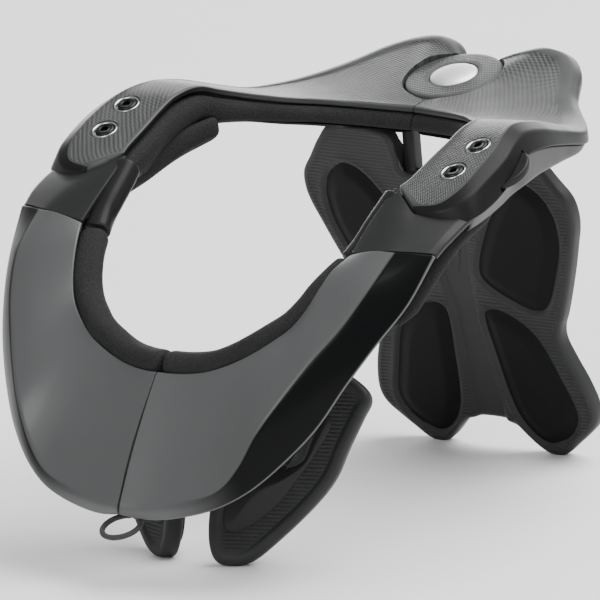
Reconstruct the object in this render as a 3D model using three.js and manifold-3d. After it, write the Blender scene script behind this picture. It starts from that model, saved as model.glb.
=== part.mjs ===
// Motocross neck brace: a hinged two-part collar with front shells, foam rolls, chest wings,
// a rear hub and a split back stabiliser. Millimetres, +Z up. The wearer's front is -Y, the
// wearer's left is +X. The left half is modelled and mirrored. The brace is first built as worn,
// then tipped until its chest wings and stabiliser feet stand on one floor.
import * as THREE from 'three';
import { mergeVertices } from 'three/addons/utils/BufferGeometryUtils.js';
import Module from 'manifold-3d';

const wasm = await Module();
wasm.setup();

const HALF_WIDTH = 138;
const FRONT_REACH = 150;
const RISE = 100;
const GAP = 0.3;
const FAR = 4 * FRONT_REACH;

const SHELL_WALL = 3;
const SHELL_SWELL = 2.2;
const COLLAR_BEAM = { setback: 4, width: 22, share: 0.7, depth: 6.8 };
const PLATE_WALL = 3;

const TOP_WALL = 7;
const LIP_WALL = 3.3;
const PAD_RECESS = 5.2;
const REAR_ROLL = { depth: 16.6, thinning: 0.24, from: -0.1, to: 0.5 };
const BASE_INSET = 1.5;

// Two points on the hub's plane, as shares: its middle, and the plate edge at the front of it.
const HUB = { middle: [0, 0.9647, 1.0085], front: [0, 0.7227, 0.887] };
const DISC = { radius: 26.6, rise: 1.2, depth: 7, bore: 13.4, recess: 2.6 };
const DISC_CLEARANCE = 0.6;
const BUTTON = { radius: 13, dome: 3 };
const HUB_PLATE = { radius: 31, top: 8.2, thickness: 4 };
const BASE_CLEARANCE_RADIUS = 40;

const CUP = { outer: 7.75, inner: 5.7, depth: 3.4, floor: 1, rise: 0.5 };
const CUP_CLEARANCE = 0.3;
const BOLT = { radius: 5.3, height: 3, hexAcross: 4.6, hexDepth: 1.8 };

// Bolt seats on the end piece: how far back along the top and how far across it.
const BOLT_SEATS = [
  { name: 'front', station: 5.8, across: 0.6 },
  { name: 'rear', station: 8.3, across: 0.64 },
];

const LEVER = { length: 24, reach: 17, root: 3.4, thickness: 4.4 };
const LEVER_PIVOT = [0.961, 0.0353, 0.744];
const LEVER_RISE_DEG = 31.7;
const LEVER_CLEARANCE = 0.7;
const LEVER_SWING_ROOM = 2.2;

const FRONT_ROLL = { width: 6.8, height: 7.4 };
const COVER_ROLL = { width: 6.6, height: 7 };
const SHOULDER_ROLL = { width: 14, height: 6 };
const STRUT = { width: 12, height: 2.6 };

const WING_HEIGHT = 103.6;
const WING_THICKNESS = 8;
const WING_EDGE = 2.2;
const INSERT_THICKNESS = 2.2;
const CHEST_PAD_THICKNESS = 9;
const CHEST_PAD_INSET = 7;

const STABILISER_HEIGHT = 191;
const STABILISER_LEAN_DEG = 21.2;
const STABILISER_THICKNESS = 8;
const STABILISER_EDGE = 1.8;
const STABILISER_PAD_THICKNESS = 4.6;
const STABILISER_PAD_EDGE = 1.6;
const LEG = { inner: 12.5, outer: 20, depth: 8, height: 60, overlap: 20 };

const LOOP = { radius: 10.5, cord: 1.5, tiltDeg: 25, behindLip: 3.5, belowLip: 6.7 };
const FOOT_FLAT = 0.7;

// Guide points of the left half. Each triple is a share of half width, front reach and rise.
// Rows run from the front seam to the rear.
const SHELL_ROWS = [
  { rim: [-0.01, -0.775, -0.223], crease: [-0.01, -0.988, -0.86], edge: [-0.01, -0.997, -0.937] },
  { rim: [0.091, -0.753, -0.224], crease: [0.13, -0.966, -0.87], edge: [0.13, -0.96, -0.958] },
  { rim: [0.188, -0.733, -0.207], crease: [0.29, -0.944, -0.83], edge: [0.29, -0.94, -0.92] },
  { rim: [0.288, -0.717, -0.16], crease: [0.413, -0.928, -0.765], edge: [0.42, -0.913, -0.86] },
  { rim: [0.375, -0.697, -0.099], crease: [0.5, -0.913, -0.62], edge: [0.536, -0.871, -0.76] },
  { rim: [0.449, -0.664, -0.027], crease: [0.558, -0.895, -0.41], edge: [0.645, -0.815, -0.61] },
  { rim: [0.512, -0.624, 0.05], crease: [0.609, -0.851, -0.23], edge: [0.739, -0.747, -0.435] },
  { rim: [0.553, -0.584, 0.145], crease: [0.667, -0.78, -0.04], edge: [0.822, -0.673, -0.205] },
  { rim: [0.581, -0.544, 0.25], crease: [0.728, -0.693, 0.135], edge: [0.893, -0.581, 0.005] },
  { rim: [0.606, -0.497, 0.342], crease: [0.775, -0.603, 0.29], edge: [0.953, -0.477, 0.2] },
  { rim: [0.637, -0.435, 0.412], crease: [0.801, -0.493, 0.398], edge: [0.987, -0.365, 0.444] },
];
const PLATE_ROWS = [
  { inner: [0.641, -0.431, 0.42], middle: [0.802, -0.488, 0.407], outer: [0.988, -0.361, 0.452] },
  { inner: [0.638, -0.347, 0.53], middle: [0.812, -0.4, 0.49], outer: [0.996, -0.3, 0.52] },
  { inner: [0.638, -0.257, 0.635], middle: [0.808, -0.32, 0.56], outer: [0.997, -0.227, 0.578] },
  { inner: [0.642, -0.176, 0.722], middle: [0.793, -0.256, 0.61], outer: [0.994, -0.163, 0.618] },
];
const FRAME_ROWS = [
  { inner: [0.657, -0.168, 0.73], crease: [0.779, -0.237, 0.652], chamfer: [0.796, -0.249, 0.634], foot: [0.796, -0.245, 0.575] },
  { inner: [0.668, -0.127, 0.758], crease: [0.88, -0.218, 0.674], chamfer: [0.906, -0.23, 0.645], foot: [0.92, -0.227, 0.565] },
  { inner: [0.671, -0.067, 0.803], crease: [0.928, -0.157, 0.74], chamfer: [0.971, -0.167, 0.71], foot: [1.007, -0.173, 0.6] },
  { inner: [0.673, 0, 0.855], crease: [0.939, -0.056, 0.834], chamfer: [0.989, -0.057, 0.8], foot: [1.014, -0.04, 0.67] },
  { inner: [0.678, 0.077, 0.913], crease: [0.929, 0.06, 0.924], chamfer: [0.982, 0.057, 0.885], foot: [1.009, 0.06, 0.77] },
  { inner: [0.675, 0.162, 0.971], crease: [0.903, 0.14, 0.98], chamfer: [0.955, 0.139, 0.938], foot: [0.99, 0.133, 0.84] },
  { inner: [0.657, 0.273, 0.999], crease: [0.871, 0.236, 1.01], chamfer: [0.926, 0.231, 0.97], foot: [0.971, 0.213, 0.867] },
  { inner: [0.609, 0.34, 0.976], crease: [0.855, 0.367, 0.996], chamfer: [0.9, 0.373, 0.956], foot: [0.932, 0.367, 0.868] },
  { inner: [0.533, 0.44, 0.942], crease: [0.828, 0.533, 0.944], chamfer: [0.865, 0.544, 0.91], foot: [0.887, 0.54, 0.84] },
  { inner: [0.435, 0.517, 0.922], crease: [0.791, 0.693, 0.9], chamfer: [0.826, 0.716, 0.872], foot: [0.835, 0.72, 0.81] },
  { inner: [0.351, 0.597, 0.909], crease: [0.722, 0.792, 0.914], chamfer: [0.754, 0.813, 0.888], foot: [0.754, 0.813, 0.84] },
  { inner: [0.268, 0.65, 0.899], crease: [0.643, 0.867, 0.948], chamfer: [0.671, 0.888, 0.922], foot: [0.671, 0.888, 0.87] },
  { inner: [0.199, 0.677, 0.894], crease: [0.572, 0.937, 0.989], chamfer: [0.599, 0.956, 0.962], foot: [0.599, 0.956, 0.91] },
  { inner: [0.141, 0.693, 0.891], crease: [0.513, 1.021, 1.034], chamfer: [0.54, 1.04, 1.006], foot: [0.54, 1.04, 0.955] },
  { inner: [0.098, 0.704, 0.889], crease: [0.446, 1.115, 1.092], chamfer: [0.47, 1.14, 1.064], foot: [0.47, 1.14, 1.01] },
  { inner: [0.065, 0.712, 0.888], crease: [0.359, 1.181, 1.136], chamfer: [0.37, 1.212, 1.118], foot: [0.37, 1.212, 1.06] },
  { inner: [0.041, 0.717, 0.887], crease: [0.257, 1.183, 1.158], chamfer: [0.252, 1.213, 1.15], foot: [0.252, 1.213, 1.085] },
  { inner: [0.023, 0.72, 0.887], crease: [0.178, 1.173, 1.136], chamfer: [0.164, 1.203, 1.13], foot: [0.164, 1.203, 1.065] },
  { inner: [0.011, 0.722, 0.887], crease: [0.123, 1.144, 1.107], chamfer: [0.097, 1.16, 1.098], foot: [0.097, 1.16, 1.03] },
  { inner: [0.004, 0.723, 0.887], crease: [0.088, 1.107, 1.079], chamfer: [0.077, 1.124, 1.074], foot: [0.077, 1.124, 1.015] },
  { inner: [-0.01, 0.723, 0.887], crease: [-0.01, 0.867, 0.959], chamfer: [-0.01, 0.893, 0.972], foot: [-0.01, 0.893, 0.902] },
];
const BASE_ROWS = [
  { inner: [0.678, -0.093, 0.55], outer: [0.954, -0.127, 0.516] },
  { inner: [0.677, -0.02, 0.59], outer: [0.957, -0.04, 0.555] },
  { inner: [0.678, 0.057, 0.65], outer: [0.953, 0.06, 0.605] },
  { inner: [0.675, 0.147, 0.71], outer: [0.946, 0.14, 0.65] },
  { inner: [0.663, 0.233, 0.765], outer: [0.938, 0.22, 0.68] },
  { inner: [0.623, 0.323, 0.795], outer: [0.902, 0.36, 0.712] },
  { inner: [0.558, 0.42, 0.795], outer: [0.862, 0.527, 0.734] },
  { inner: [0.464, 0.5, 0.784], outer: [0.816, 0.7, 0.76] },
  { inner: [0.384, 0.58, 0.774], outer: [0.738, 0.792, 0.79] },
  { inner: [0.312, 0.633, 0.766], outer: [0.654, 0.867, 0.824] },
  { inner: [0.246, 0.66, 0.764], outer: [0.581, 0.936, 0.864] },
  { inner: [0.188, 0.68, 0.763], outer: [0.523, 1.019, 0.91] },
  { inner: [0.145, 0.69, 0.762], outer: [0.457, 1.117, 0.96] },
  { inner: [0.109, 0.697, 0.762], outer: [0.361, 1.187, 1.004] },
  { inner: [0.084, 0.701, 0.762], outer: [0.255, 1.188, 1.013] },
  { inner: [0.067, 0.704, 0.762], outer: [0.183, 1.176, 1.006] },
  { inner: [0.051, 0.707, 0.762], outer: [0.126, 1.14, 0.986] },
];

// Rolls: centre as shares, then half width and half height as shares of the roll's own size.
const COVER_ROWS = [
  { centre: [0.609, -0.377, 0.364], half: [1, 0.943] },
  { centre: [0.625, -0.327, 0.435], half: [1, 0.971] },
  { centre: [0.63, -0.27, 0.515], half: [1, 1] },
  { centre: [0.635, -0.213, 0.59], half: [1, 1] },
  { centre: [0.641, -0.167, 0.652], half: [1, 1] },
];

const FRONT_PAD_ROWS = [
  { centre: [-0.01, -0.708, -0.198], half: [1, 1] },
  { centre: [0.1, -0.688, -0.198], half: [1, 1] },
  { centre: [0.201, -0.668, -0.178], half: [1, 1] },
  { centre: [0.287, -0.652, -0.13], half: [1, 1] },
  { centre: [0.357, -0.64, -0.076], half: [1, 1] },
  { centre: [0.42, -0.608, -0.014], half: [1, 0.986] },
  { centre: [0.478, -0.569, 0.052], half: [1, 0.959] },
  { centre: [0.519, -0.531, 0.132], half: [1, 0.919] },
  { centre: [0.549, -0.491, 0.216], half: [1, 0.892] },
  { centre: [0.577, -0.443, 0.286], half: [1, 0.892] },
  { centre: [0.6, -0.391, 0.344], half: [0.971, 0.892] },
];
const SHOULDER_PAD_ROWS = [
  { centre: [0.812, -0.42, 0.07], half: [0.5, 0.533] },
  { centre: [0.817, -0.36, 0.15], half: [0.821, 0.833] },
  { centre: [0.814, -0.24, 0.325], half: [0.929, 0.967] },
  { centre: [0.804, -0.1, 0.462], half: [0.957, 1] },
  { centre: [0.783, 0.06, 0.55], half: [0.971, 1] },
  { centre: [0.732, 0.2, 0.655], half: [0.929, 0.933] },
  { centre: [0.645, 0.337, 0.75], half: [0.714, 0.767] },
];

// The rear roll's section: steps across the lip, then down, as shares of the roll's depth.
const REAR_PAD_SECTION = [
  [-0.181, -0.572], [-0.157, -0.373], [-0.048, -0.229], [0.133, -0.217],
  [0.277, -0.217], [0.277, -0.94], [0.06, -1], [-0.12, -0.855],
];

// Chest wing and its front insert: steps across the chest and up, as shares of the wing's height.
const WING_ORIGIN = [0.087, -0.5787, -1.004];
const WING_NORMAL = [-0.397, 0.913, -0.09];
const WING_ACROSS = [0.917, 0.399, 0];
const WING_OUTLINE = [
  [0, -0.01], [0.01, -0.193], [0.048, -0.251], [0.127, -0.266], [0.216, -0.247], [0.381, -0.113],
  [0.582, 0.095], [0.658, 0.205], [0.718, 0.35], [0.792, 0.512], [0.826, 0.584], [0.82, 0.627],
  [0.772, 0.681], [0.676, 0.734], [0.541, 0.734], [0.386, 0.637], [0.193, 0.405], [0.048, 0.174],
];
const INSERT_OUTLINE = [
  [0.08, -0.055], [0.128, -0.094], [0.233, -0.048], [0.367, 0.069], [0.458, 0.191], [0.555, 0.333],
  [0.63, 0.489], [0.598, 0.521], [0.545, 0.425], [0.483, 0.28], [0.386, 0.241], [0.261, 0.241],
  [0.125, 0.135],
];
const STRUT_ROWS = [
  { centre: [0.387, -0.672, -0.235], half: [1, 0.923] },
  { centre: [0.355, -0.583, -0.41], half: [1, 0.923] },
  { centre: [0.335, -0.513, -0.52], half: [1, 1] },
  { centre: [0.32, -0.43, -0.62], half: [1, 1] },
];

// The cord that ties the pull loop behind the shell's lower lip.
const LOOP_LINK_ROWS = [
  { centre: [0, -0.91, -0.96], half: [0.8, 0.8] },
  { centre: [0, -0.938, -0.93], half: [0.8, 0.8] },
  { centre: [0, -0.9705, -0.91], half: [0.8, 0.8] },
];

// Back stabiliser and its pads, left half: across from the middle and up the leaning plate,
// as shares of the stabiliser's height.
const STABILISER_ORIGIN = [0, 0.82, 0.536];
const STABILISER_OUTLINE = [
  [0, -0.796], [0.042, -0.798], [0.084, -0.808], [0.11, -0.83], [0.138, -0.858], [0.168, -0.883],
  [0.205, -0.893], [0.241, -0.882], [0.282, -0.851], [0.325, -0.817], [0.362, -0.782], [0.376, -0.749],
  [0.375, -0.71], [0.359, -0.642], [0.335, -0.578], [0.317, -0.513], [0.324, -0.474], [0.343, -0.437],
  [0.378, -0.358], [0.41, -0.28], [0.439, -0.202], [0.458, -0.147], [0.464, -0.105], [0.457, -0.055],
  [0.419, 0], [0.377, 0.058], [0.325, 0.107], [0.141, 0.107], [0.118, 0.084], [0.11, 0.031],
  [0.105, -0.016], [0, -0.016],
];
const UPPER_PAD_OUTLINE = [
  [0.304, -0.01], [0.335, -0.021], [0.372, -0.055], [0.394, -0.105], [0.397, -0.162], [0.385, -0.225],
  [0.351, -0.309], [0.309, -0.393], [0.28, -0.42], [0.243, -0.424], [0.186, -0.406], [0.102, -0.356],
  [0.083, -0.327], [0.089, -0.288], [0.131, -0.199], [0.188, -0.105], [0.251, -0.031],
];
const LOWER_PAD_OUTLINE = [
  [0.065, -0.453], [0.081, -0.437], [0.115, -0.434], [0.188, -0.466], [0.241, -0.524], [0.283, -0.639],
  [0.312, -0.743], [0.301, -0.785], [0.267, -0.825], [0.209, -0.853], [0.173, -0.851], [0.141, -0.83],
  [0.099, -0.764], [0.071, -0.576],
];

function vector(list) {
  return new THREE.Vector3(list[0], list[1], list[2]);
}

function fromShares(share) {
  return new THREE.Vector3(share[0] * HALF_WIDTH, share[1] * FRONT_REACH, share[2] * RISE);
}

function stationsOf(rows, names, steps) {
  const curves = names.map((name) => {
    const points = rows.map((row) => fromShares(row[name]));
    return new THREE.CatmullRomCurve3(points, false, 'centripetal');
  });
  const count = (rows.length - 1) * steps;
  const stations = [];
  for (let i = 0; i <= count; i += 1) {
    const station = {};
    names.forEach((name, k) => {
      station[name] = curves[k].getPoint(i / count);
    });
    stations.push(station);
  }
  return stations;
}

function halvesAt(rows, size, steps) {
  const halves = rows.map(({ half }) => new THREE.Vector2(half[0] * size.width, half[1] * size.height));
  return rows.slice(0, -1).flatMap((_, i) => Array.from(
    { length: steps }, (__, k) => halves[i].clone().lerp(halves[i + 1], k / steps))).concat(halves.slice(-1));
}

function scaled(points, size) {
  return points.map(([x, y]) => [x * size, y * size]);
}

function capTriangles(ring) {
  const normal = new THREE.Vector3();
  ring.forEach((point, i) => {
    const next = ring[(i + 1) % ring.length];
    normal.x += (point.y - next.y) * (point.z + next.z);
    normal.y += (point.z - next.z) * (point.x + next.x);
    normal.z += (point.x - next.x) * (point.y + next.y);
  });
  normal.normalize();
  const side = new THREE.Vector3(1, 0, 0);
  if (Math.abs(normal.x) > 0.8) side.set(0, 1, 0);
  side.cross(normal).normalize();
  const up = normal.clone().cross(side);
  const flat = ring.map((point) => new THREE.Vector2(point.dot(side), point.dot(up)));
  return THREE.ShapeUtils.triangulateShape(flat, []).map((face) => {
    const [a, b, c] = face.map((k) => flat[k]);
    const area = (b.x - a.x) * (c.y - a.y) - (b.y - a.y) * (c.x - a.x);
    return area > 0 ? face : [face[0], face[2], face[1]];
  });
}

function loft(rings) {
  const size = rings[0].length;
  const positions = [];
  const index = [];
  rings.forEach((ring) => ring.forEach((point) => positions.push(point.x, point.y, point.z)));
  for (let i = 0; i < rings.length - 1; i += 1) {
    for (let j = 0; j < size; j += 1) {
      const a = i * size + j;
      const b = i * size + ((j + 1) % size);
      const c = b + size;
      const d = a + size;
      index.push(a, b, c, a, c, d);
    }
  }
  const last = (rings.length - 1) * size;
  capTriangles(rings[0]).forEach(([a, b, c]) => index.push(a, c, b));
  capTriangles(rings[rings.length - 1]).forEach(([a, b, c]) => index.push(last + a, last + b, last + c));
  const geometry = new THREE.BufferGeometry();
  geometry.setAttribute('position', new THREE.Float32BufferAttribute(positions, 3));
  geometry.setIndex(index);
  return outward(geometry);
}

function signedVolume(geometry) {
  const position = geometry.getAttribute('position');
  const index = geometry.getIndex().array;
  const a = new THREE.Vector3();
  const b = new THREE.Vector3();
  const c = new THREE.Vector3();
  let volume = 0;
  for (let i = 0; i < index.length; i += 3) {
    a.fromBufferAttribute(position, index[i]);
    b.fromBufferAttribute(position, index[i + 1]);
    c.fromBufferAttribute(position, index[i + 2]);
    volume += a.dot(b.cross(c));
  }
  return volume / 6;
}

function outward(geometry) {
  if (signedVolume(geometry) > 0) return geometry;
  const index = Array.from(geometry.getIndex().array);
  for (let i = 0; i < index.length; i += 3) {
    [index[i + 1], index[i + 2]] = [index[i + 2], index[i + 1]];
  }
  geometry.setIndex(index);
  return geometry;
}

function bare(geometry) {
  const copy = geometry.clone();
  copy.deleteAttribute('normal');
  copy.deleteAttribute('uv');
  return outward(mergeVertices(copy, 1e-4));
}

function toManifold(geometry) {
  const plain = bare(geometry);
  return new wasm.Manifold(new wasm.Mesh({
    numProp: 3,
    vertProperties: new Float32Array(plain.getAttribute('position').array),
    triVerts: new Uint32Array(plain.getIndex().array),
  }));
}

function fromManifold(solid) {
  const mesh = solid.getMesh();
  const geometry = new THREE.BufferGeometry();
  geometry.setAttribute('position', new THREE.BufferAttribute(mesh.vertProperties.slice(), 3));
  geometry.setIndex(Array.from(mesh.triVerts));
  return geometry;
}

function cut(geometry, ...tools) {
  return fromManifold(tools.reduce((solid, tool) => solid.subtract(toManifold(tool)), toManifold(geometry)));
}

function join(geometry, ...others) {
  return fromManifold(others.reduce((solid, other) => solid.add(toManifold(other)), toManifold(geometry)));
}

// Keeps only what lies on the left of the seam plane.
function seamed(geometry) {
  const other = new THREE.BoxGeometry(FAR, FAR, FAR);
  other.translate(GAP - FAR / 2, 0, 0);
  return cut(geometry, other);
}

function mirrored(geometry) {
  const copy = geometry.clone();
  copy.applyMatrix4(new THREE.Matrix4().makeScale(-1, 1, 1));
  return outward(bare(copy));
}

// A wall of even thickness below a grid of points: rows along the collar, columns outward.
function normalsOf(grid) {
  return grid.map((row, i) => row.map((_, j) => {
    const along = grid[Math.min(i + 1, grid.length - 1)][j].clone().sub(grid[Math.max(i - 1, 0)][j]);
    const across = row[Math.min(j + 1, row.length - 1)].clone().sub(row[Math.max(j - 1, 0)]);
    return across.cross(along).normalize();
  }));
}

function sheet(grid, wall) {
  const normals = normalsOf(grid);
  const rings = grid.map((row, i) => {
    const under = row.map((point, j) => point.clone().addScaledVector(normals[i][j], -wall));
    return row.concat(under.reverse());
  });
  return loft(rings);
}

function swelled(rows, swell) {
  const normals = normalsOf(rows);
  return rows.map((row, i) => row.map((point, j) => point.clone().addScaledVector(normals[i][j], swell[j])));
}

// A soft roll or strut along a row of centres, with a rounded section.
function roll(rows, size, steps, sides, squareness) {
  const stations = stationsOf(rows, ['centre'], steps);
  const halves = halvesAt(rows, size, steps);
  const rings = stations.map((station, i) => {
    const before = stations[Math.max(i - 1, 0)].centre;
    const after = stations[Math.min(i + 1, stations.length - 1)].centre;
    const along = after.clone().sub(before).normalize();
    const across = along.clone().cross(new THREE.Vector3(0, 0, 1)).normalize();
    const over = across.clone().cross(along);
    return Array.from({ length: sides }, (_, k) => {
      const angle = (k / sides) * Math.PI * 2;
      const c = Math.sign(Math.cos(angle)) * Math.abs(Math.cos(angle)) ** squareness;
      const s = Math.sign(Math.sin(angle)) * Math.abs(Math.sin(angle)) ** squareness;
      return station.centre.clone()
        .addScaledVector(across, c * halves[i].x)
        .addScaledVector(over, s * halves[i].y);
    });
  });
  return loft(rings);
}

function basis(across, up, out, origin) {
  const matrix = new THREE.Matrix4().makeBasis(across, up, out);
  matrix.setPosition(origin);
  return matrix;
}

function shapeOf(points) {
  const curve = new THREE.CatmullRomCurve3(
    points.map(([x, y]) => new THREE.Vector3(x, y, 0)), true, 'centripetal');
  const smooth = curve.getPoints(points.length * 2).slice(0, -1);
  return new THREE.Shape(smooth.map((point) => new THREE.Vector2(point.x, point.y)));
}

function scaledAbout(points, inset) {
  const mid = points.reduce((sum, [x, y]) => [sum[0] + x / points.length, sum[1] + y / points.length], [0, 0]);
  return points.map(([x, y]) => {
    const length = Math.hypot(x - mid[0], y - mid[1]);
    const share = (length - inset) / length;
    return [mid[0] + (x - mid[0]) * share, mid[1] + (y - mid[1]) * share];
  });
}

// A plate with softened edges, its outline kept at full size and its near face at zero.
function softPlate(shape, thickness, edge, bevelSegments = 1) {
  const geometry = new THREE.ExtrudeGeometry(shape, {
    depth: thickness - edge * 2,
    bevelEnabled: true,
    bevelThickness: edge,
    bevelSize: edge,
    bevelOffset: -edge,
    bevelSegments,
    steps: 1,
  });
  geometry.translate(0, 0, edge);
  return bare(geometry);
}

function lathe(profile, segments, matrix) {
  const geometry = new THREE.LatheGeometry(profile.map(([r, z]) => new THREE.Vector2(r, z)), segments);
  geometry.rotateX(Math.PI / 2);
  geometry.applyMatrix4(matrix);
  return bare(geometry);
}

function post(radius, low, high, segments, matrix) {
  return lathe([[0, low], [radius, low], [radius, high], [0, high]], segments, matrix);
}

const zUp = new THREE.Vector3(0, 0, 1);
const xOut = new THREE.Vector3(1, 0, 0);
const hubPoint = fromShares(HUB.middle);
const hubBack = hubPoint.clone().sub(fromShares(HUB.front)).normalize();
const hubAxis = xOut.clone().cross(hubBack);
const hubFrame = basis(xOut, hubAxis.clone().cross(xOut), hubAxis, hubPoint);

const shellStations = stationsOf(SHELL_ROWS, ['rim', 'crease', 'edge'], 2);
const plateStations = stationsOf(PLATE_ROWS, ['inner', 'middle', 'outer'], 2);
const frameStations = stationsOf(FRAME_ROWS, ['inner', 'crease', 'chamfer', 'foot'], 2);
const baseStations = stationsOf(BASE_ROWS, ['inner', 'outer'], 2);

function between(a, b, share) {
  return a.clone().lerp(b, share);
}

function moved(geometry, x, y, z) {
  return geometry.clone().translate(x, y, z);
}

function frontShell() {
  const grid = shellStations.map(({ rim, crease, edge }) => [
    rim.clone(), between(rim, crease, 0.33), between(rim, crease, 0.68),
    crease.clone(), between(crease, edge, 0.5), edge.clone(),
  ]);
  return sheet(swelled(grid, [0, SHELL_SWELL * 0.8, SHELL_SWELL, 0, SHELL_SWELL * 0.5, 0]), SHELL_WALL);
}

function sidePlate() {
  const grid = plateStations.map(({ inner, middle, outer }) => [
    inner.clone(), between(inner, middle, 0.5), middle.clone(), between(middle, outer, 0.5), outer.clone(),
  ]);
  const clearance = GAP + 0.1;
  return cut(
    sheet(grid, PLATE_WALL), moved(frontShell(), 0, clearance, clearance), solidFrame(),
    moved(solidFrame(), 0, -clearance, 0), moved(solidFrame(), 0, 0, -clearance), rearBase(),
    moved(rearBase(), 0, -clearance, 0));
}

function collarBeam() {
  const rows = shellStations.slice(0, -1).map(({ rim, crease }) => [rim, crease])
    .concat(plateStations.slice(0, -2).map(({ inner, middle }) => [inner, middle]));
  const normals = normalsOf(rows);
  const top = SHELL_WALL + GAP;
  const rings = rows.map(([inner, outer], i) => {
    const reach = outer.distanceTo(inner);
    const across = outer.clone().sub(inner).normalize();
    const far = Math.min(COLLAR_BEAM.width, reach * COLLAR_BEAM.share);
    const at = (step, depth) => inner.clone()
      .addScaledVector(across, step)
      .addScaledVector(normals[i][0], -depth);
    return [
      at(COLLAR_BEAM.setback, top), at(far, top),
      at(far, top + COLLAR_BEAM.depth), at(COLLAR_BEAM.setback + 2, top + COLLAR_BEAM.depth),
    ];
  });
  return loft(rings);
}

function lipPoint({ inner, crease }, step, drop) {
  const across = crease.clone().sub(inner).normalize();
  return inner.clone().addScaledVector(across, step).addScaledVector(zUp, drop);
}

// How deep the rear roll and the wall behind it run: full at the front, thinner at the rear.
function rollDepth({ inner }) {
  const share = THREE.MathUtils.smoothstep(inner.y / FRONT_REACH, REAR_ROLL.from, REAR_ROLL.to);
  return REAR_ROLL.depth * (1 - REAR_ROLL.thinning * share);
}

function leverFrame() {
  const rise = THREE.MathUtils.degToRad(LEVER_RISE_DEG);
  const along = new THREE.Vector3(0, Math.cos(rise), Math.sin(rise));
  const normal = new THREE.Vector3(0, -Math.sin(rise), Math.cos(rise));
  return basis(along, xOut.clone().negate(), normal.clone(), fromShares(LEVER_PIVOT));
}

// The lever's flat outline: along the collar from its pivot, then inward.
function leverOutline() {
  const { length, reach, root } = LEVER;
  const shape = new THREE.Shape();
  shape.moveTo(length, root);
  shape.lineTo(0, root);
  shape.absarc(0, 0, root, Math.PI / 2, Math.PI, false);
  shape.bezierCurveTo(-root * 0.3, -reach * 1.3, length * 0.75, -reach * 1.3, length, -root);
  shape.closePath();
  return shape;
}

function leverPlate(outline, thickness) {
  const body = new THREE.ExtrudeGeometry(outline, { depth: thickness, bevelEnabled: false, curveSegments: 8 });
  body.translate(0, 0, -thickness / 2);
  body.applyMatrix4(leverFrame());
  return bare(body);
}

function lever() {
  return leverPlate(leverOutline(), LEVER.thickness);
}

// The room that the lever sweeps from rest to its full swing.
function leverSlot() {
  const room = LEVER.root + LEVER_SWING_ROOM;
  const end = LEVER.length + LEVER_CLEARANCE;
  const outside = -LEVER.reach * 1.4;
  const shape = new THREE.Shape();
  shape.moveTo(end, room);
  shape.lineTo(0, room);
  shape.absarc(0, 0, room, Math.PI / 2, Math.PI, false);
  shape.lineTo(-room * 1.8, outside);
  shape.lineTo(end, outside);
  shape.closePath();
  return leverPlate(shape, LEVER.thickness + LEVER_CLEARANCE * 2);
}

function seatFrame({ station, across }) {
  const low = Math.floor(station);
  const blend = station - low;
  const mix = (key) => between(frameStations[low][key], frameStations[low + 1][key], blend);
  const inner = mix('inner');
  const crease = mix('crease');
  const along = frameStations[low + 1].inner.clone().sub(frameStations[low].inner).normalize();
  const outwards = crease.clone().sub(inner).normalize();
  const normal = outwards.clone().cross(along).normalize();
  const side = normal.clone().cross(outwards).negate();
  return basis(side, normal.clone().cross(side), normal, between(inner, crease, across));
}

function cup(frame) {
  const { outer, inner, depth, floor, rise } = CUP;
  return lathe([
    [0, -depth], [outer, -depth], [outer, rise - 0.4], [outer - 0.5, rise],
    [inner + 0.5, rise], [inner, rise - 0.4], [inner, floor - depth], [0, floor - depth],
  ], 20, frame);
}

function bolt(frame) {
  const low = CUP.floor - CUP.depth + GAP;
  const high = low + BOLT.height;
  const body = lathe([
    [0, low], [BOLT.radius, low], [BOLT.radius, high - 0.6], [BOLT.radius - 0.6, high], [0, high],
  ], 16, frame);
  const socket = post(BOLT.hexAcross / 2, high - BOLT.hexDepth, high + 1, 6, frame);
  return cut(body, socket);
}

function solidFrame() {
  const rings = frameStations.map((station) => [
    station.inner.clone(), station.crease.clone(), station.chamfer.clone(), station.foot.clone(),
    lipPoint(station, PAD_RECESS, -TOP_WALL),
    lipPoint(station, PAD_RECESS, -LIP_WALL),
    lipPoint(station, 0, -LIP_WALL + 0.6),
  ]);
  return loft(rings);
}

function rearFrame() {
  const tools = BOLT_SEATS.map((seat) => post(
    CUP.outer + CUP_CLEARANCE, -CUP.depth - CUP_CLEARANCE, 12, 20, seatFrame(seat)));
  tools.push(post(DISC.radius + DISC_CLEARANCE, -30, 30, 40, hubFrame), leverSlot());
  return cut(solidFrame(), ...tools);
}

function rearBase() {
  const first = 4;
  const rings = baseStations.map(({ inner, outer }, i) => {
    const station = frameStations[first + i];
    const underLip = lipPoint(station, PAD_RECESS, -TOP_WALL);
    const inset = underLip.clone().sub(station.foot).setLength(BASE_INSET);
    const topOuter = station.foot.clone().add(inset).addScaledVector(zUp, -GAP);
    const below = -rollDepth(station) - GAP * 2;
    const stepOut = lipPoint(station, PAD_RECESS, below);
    const stepIn = lipPoint(station, 1.2, below);
    const foot = inner.clone();
    foot.z = Math.min(inner.z, stepIn.z - 1);
    return [topOuter, underLip.addScaledVector(zUp, -GAP), stepOut, stepIn, foot, outer.clone()];
  });
  return cut(loft(rings), post(BASE_CLEARANCE_RADIUS, -FAR, FAR, 36, hubFrame), leverSlot());
}

function rearPad() {
  const rings = frameStations.slice(1).map((station) => {
    const thinned = REAR_ROLL.depth - rollDepth(station);
    return REAR_PAD_SECTION.map(([step, drop]) => lipPoint(
      station, step * REAR_ROLL.depth, drop * REAR_ROLL.depth + Math.max(0, -drop * 2 - 1) * thinned));
  });
  return loft(rings);
}

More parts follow.
